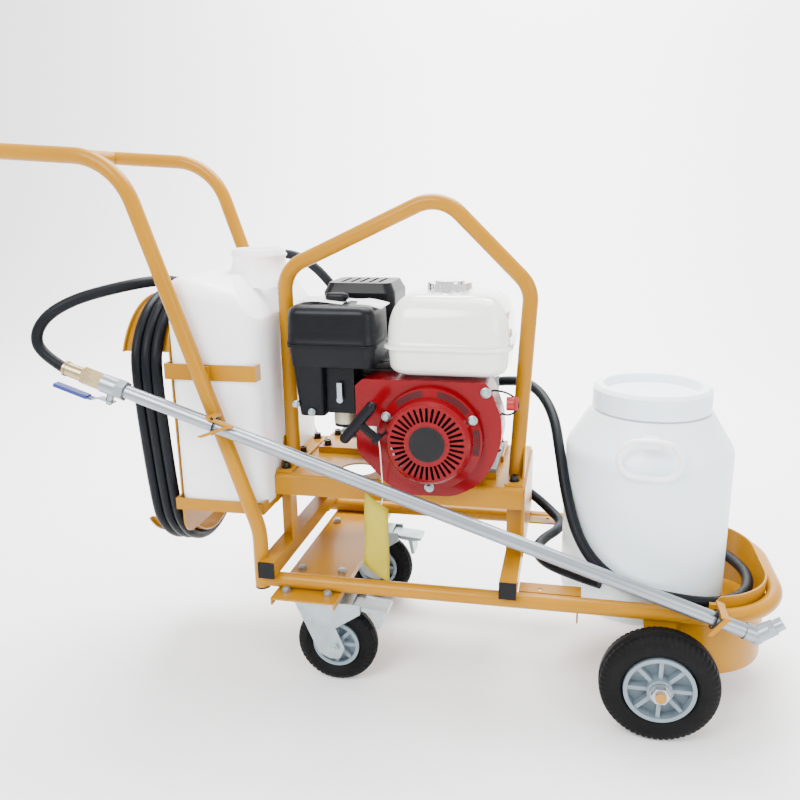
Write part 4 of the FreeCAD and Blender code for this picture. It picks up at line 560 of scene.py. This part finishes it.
def rear_can():
    """The blow-moulded can: a smooth body with lobes, and a ringed neck with an open mouth."""
    low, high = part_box("rear_can")
    outline = (low.x, high.x, low.y, high.y)
    floor, roof = low.z, CAN_ROOF
    steps = [(0.060, floor + 0.003), (0.030, floor), (0.012, floor), (0.005, floor + 0.002),
             (0.001, floor + 0.008), (0.0, floor + 0.018)]
    steps += [(0.0, floor + 0.018 + (roof - 0.10 - floor) * i / 10) for i in range(1, 10)]
    for i in range(9):
        angle = math.radians(90 * i / 8)
        steps.append((0.022 * (1 - math.cos(angle)), roof - 0.026 + 0.026 * math.sin(angle)))
    steps += [(0.022 + 0.006 * i, roof + 0.0006) for i in range(1, 8)]
    body = piece_from(stacked(inset_levels(outline, 0.027, steps), can_height), "can_body",
                      "blown_plastic")
    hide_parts("rear_can")
    top = high.z
    profile = [(0.066, top - 0.060), (0.060, top - 0.048), (0.050, top - 0.036),
               (0.0462, top - 0.026), (0.0450, top - 0.020), (0.0450, top - 0.014),
               (0.0475, top - 0.012), (0.0475, top - 0.009), (0.0450, top - 0.007),
               (0.0450, top - 0.001), (0.0440, top), (0.0422, top), (0.0418, top - 0.002),
               (0.0418, top - 0.050)]
    turned("can_neck", profile, (CAN_NECK_X, 0, 0), "blown_plastic")


def turned(name, profile, centre, material, steps=72):
    """A skin turned about a vertical line: profile is (radius, height)."""
    bm = bmesh.new()
    rings = []
    for radius, z in profile:
        rings.append([bm.verts.new((centre[0] + radius * math.cos(2 * math.pi * i / steps),
                                    centre[1] + radius * math.sin(2 * math.pi * i / steps),
                                    centre[2] + z)) for i in range(steps)])
    join_rings(bm, rings)
    return piece_from(bm, name, material)


# ---------------------------------------------------------------- tyres
def tyre(node, body, lugs):
    """A tyre with a round section, two rib grooves and a notched shoulder each side."""
    low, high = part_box(node)
    centre = (low + high) / 2
    outer, half = (high.z - low.z) / 2, (high.y - low.y) / 2
    rim = outer * (0.60 if "front" in node else 0.585)
    section = [(-0.62, rim), (-0.86, rim + 0.004), (-0.97, rim + 0.010)]
    section += [(-0.98, rim + 0.35 * (outer - rim)), (-0.95, rim + 0.62 * (outer - rim)),
                (-0.86, outer - 0.0075), (-0.74, outer - 0.0035), (-0.60, outer - 0.0018),
                (-0.44, outer - 0.0007), (-0.40, outer - 0.0030), (-0.34, outer - 0.0030),
                (-0.30, outer - 0.0003), (0.0, outer)]
    section += [(-a, r) for a, r in reversed(section[:-1])]
    steps = lugs * 4
    bm = bmesh.new()
    rings = []
    for i in range(steps):
        notch = i % 4 == 0
        ring = []
        for across, radius in section:
            shoulder = 0.5 < abs(across) < 0.9 and radius > outer - 0.009
            cut = 0.0026 if notch and shoulder else 0.0
            angle = 2 * math.pi * (i + 1.1 * across) / steps
            reach = radius - cut
            ring.append(bm.verts.new((centre.x + reach * math.cos(angle),
                                      centre.y + across * half,
                                      centre.z + reach * math.sin(angle))))
        rings.append(ring)
    join_rings(bm, rings + rings[:1])
    made = piece_from(bm, node + "_tread", "tyre_rubber", body)
    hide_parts(node)


def tyres():
    """The four tyres, each riding its own wheel."""
    for side in ("near", "far"):
        tyre("front_tyre_" + side, "front_wheel_" + side, 62)
        tyre("caster_tyre_" + side, "caster_wheel_" + side, 46)


# ---------------------------------------------------------------- small engine details
def bar_along(name, start, end, radius, sides, material):
    """A prism from one point to another, with a slightly smaller far end."""
    start, end = Vector(start), Vector(end)
    turn = (end - start).to_track_quat("Z", "Y")
    length = (end - start).length
    bm = bmesh.new()
    rings = []
    bevel = min(0.18 * radius, 0.3 * length)
    for reach, z in ((radius, 0), (radius, length - bevel), (radius - bevel, length)):
        rings.append([bm.verts.new(start + turn @ Vector((
            reach * math.cos(2 * math.pi * i / sides),
            reach * math.sin(2 * math.pi * i / sides), z))) for i in range(sides)])
    join_rings(bm, rings, capped=True)
    return piece_from(bm, name, material, smooth=sides > 8)


def recoil_details():
    """Dark curved strips that paint the shade inside the cover's louvre slots, bright screws on
    the recoil cover, and one screw on the shroud.
    """
    low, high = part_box("recoil_cover")
    x, z = (low.x + high.x) / 2, SHAFT_Z
    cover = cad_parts["recoil_cover"]

    def face_at(across, up):
        """The cover's front surface at a point, found by a line along +Y."""
        hit, spot, _, _ = cover.ray_cast(Vector((x + across, low.y - 0.02, z + up)),
                                         Vector((0, 1, 0)))
        return spot.y if hit else low.y + 0.020

    # Each louvre is a thin dark strip laid on the cover's face: painted shade in place of the open
    # slot's hollow, which is not cut.
    for group, (start, end) in enumerate(((98, 132), (38, 80), (-16, 16))):
        for row, radius in enumerate((0.0725, 0.0757, 0.0789)):
            bm = bmesh.new()
            rings = []
            for i in range(13):
                angle = math.radians(start + (end - start) * i / 12)
                ring = []
                for r, depth in ((radius - 0.0010, -0.0003), (radius + 0.0010, -0.0003),
                                 (radius + 0.0010, 0.0012), (radius - 0.0010, 0.0012)):
                    across, up = r * math.cos(angle), r * math.sin(angle)
                    ring.append(bm.verts.new((x + across, face_at(across, up) + depth, z + up)))
                rings.append(ring)
            join_rings(bm, rings, capped=True)
            piece_from(bm, "louvre_%d_%d" % (group, row), "dark_iron", smooth=False)
    for i, angle in enumerate((28, 152, 270)):
        across = BOLT_CIRCLE_R * math.cos(math.radians(angle))
        up = BOLT_CIRCLE_R * math.sin(math.radians(angle))
        spot = (x + across, -0.1425, z + up)
        bar_along("cover_washer_%d" % i, spot, (spot[0], -0.1442, spot[2]), 0.0078, 32,
                  "zinc_plate")
        bar_along("cover_screw_%d" % i, spot, (spot[0], -0.1492, spot[2]), 0.0060, 6, "zinc_plate")
    spot = (0.152, -0.1245, 0.508)
    bar_along("shroud_washer", spot, (spot[0], -0.1265, spot[2]), 0.0085, 32, "zinc_plate")
    bar_along("shroud_screw", spot, (spot[0], -0.1315, spot[2]), 0.0062, 6, "zinc_plate")


def carburettor_details():
    """The pale float bowl, its drain screw and the air elbow's two bright screws."""
    x, y = -0.083, -0.087
    turned("float_bowl", [(0.0, 0.4350), (0.012, 0.4352), (0.0175, 0.4375), (0.0195, 0.442),
                          (0.0198, 0.458), (0.0215, 0.4595), (0.0215, 0.4635), (0.0, 0.4637)],
           (x, y, 0), "bowl_metal", steps=48)
    bar_along("bowl_screw", (x, y, 0.4355), (x, y, 0.4285), 0.0058, 6, "zinc_plate")
    for i, (px, pz) in enumerate(((-0.1545, 0.478), (-0.1285, 0.466))):
        bar_along("elbow_washer_%d" % i, (px, -0.1235, pz), (px, -0.1300, pz), 0.0062, 24,
                  "zinc_plate")
        bar_along("elbow_screw_%d" % i, (px, -0.129, pz), (px, -0.1345, pz), 0.0048, 6,
                  "zinc_plate")


def wiring():
    """The stop switch's lead, the starter's rope and the tag's string."""
    spline_curve("switch_lead", in_mm([(152, -118, 510), (166, -108, 509), (184, -100, 503),
                                       (199, -98, 492), (201, -98, 479), (192, -98, 469),
                                       (180, -98, 466), (172, -96, 470)]), 0.0016,
                 "black_plastic")
    spline_curve("starter_rope", in_mm([(4, -142, 450), (2, -150, 449), (-1, -160, 446),
                                        (-6, -172, 443)]), 0.0022, "black_plastic",
                 "starter_grip")
    spline_curve("tag_string", in_mm([(-9, -173, 447), (-7, -168, 430), (-8, -158, 395),
                                      (-10, -142, 350), (-14, -126, 322), (-18, -122, 312)]),
                 0.0009, "cotton_string")


def tag():
    """A blank hanging card with a slight curl."""
    rows, columns = 10, 5
    corners = [Vector((-0.046, -0.120, 0.331)), Vector((-0.007, -0.118, 0.303)),
               Vector((-0.008, -0.116, 0.170)), Vector((-0.050, -0.122, 0.202))]
    bm = bmesh.new()
    grid = []
    for i in range(rows + 1):
        down = i / rows
        left, right = corners[0].lerp(corners[3], down), corners[1].lerp(corners[2], down)
        line = []
        for k in range(columns + 1):
            spot = left.lerp(right, k / columns)
            curl = 0.004 * math.sin(math.pi * k / columns) + 0.003 * math.sin(2.2 * math.pi * down)
            line.append(bm.verts.new(spot + Vector((0, -curl, 0))))
        grid.append(line)
    join_strips(bm, grid)
    thicken(piece_from(bm, "hang_tag", "tag_card"), 0.0005)


def ring_round(name, centre, normal, radius, wire, material):
    """A closed wire ring about a line, such as a cable tie."""
    turn = Vector(normal).to_track_quat("Z", "Y")
    points = [Vector(centre) + turn @ Vector((radius * math.cos(2 * math.pi * i / 24),
                                              radius * math.sin(2 * math.pi * i / 24), 0))
              for i in range(25)]
    return spline_curve(name, [tuple(p) for p in points], wire, material)


def cable_ties():
    """Black ties that hold the lance to its two hooks."""
    tilt = math.atan2(LANCE_REAR[1] - LANCE_FRONT[1], LANCE_FRONT[0] - LANCE_REAR[0])
    along = (math.cos(tilt), 0, -math.sin(tilt))
    for name, u in (("tie_rear", 0.156), ("tie_front", 0.962)):
        centre = (LANCE_REAR[0] + u * math.cos(tilt), LANCE_Y, LANCE_REAR[1] - u * math.sin(tilt))
        ring_round(name, centre, along, 0.0145, 0.0012, "black_plastic")
        bar_along(name + "_lock", (centre[0], centre[1] - 0.009, centre[2] + 0.011),
                  (centre[0] + 0.002, centre[1] - 0.016, centre[2] + 0.017), 0.0028, 4,
                  "black_plastic")


def labels():
    """Labels without lettering: one on the tank's front end and a small one on the shroud."""
    for name, material, corners in (
            ("tank_label", "label_print", ((0.1846, -0.088, 0.588), (0.1846, -0.050, 0.586),
                                           (0.1788, -0.050, 0.624), (0.1788, -0.088, 0.626))),
            ("shroud_label", "white_card", ((-0.036, -0.1255, 0.430), (-0.022, -0.1255, 0.430),
                                            (-0.022, -0.1255, 0.446), (-0.036, -0.1255, 0.446)))):
        bm = bmesh.new()
        bm.faces.new([bm.verts.new(corner) for corner in corners])
        thicken(piece_from(bm, name, material), PAPER)


make_materials()
camera()
studio()
dress_nodes()
hoses()
fuel_tank()
air_cleaner()
rear_can()
tyres()
recoil_details()
carburettor_details()
wiring()
tag()
cable_ties()
labels()
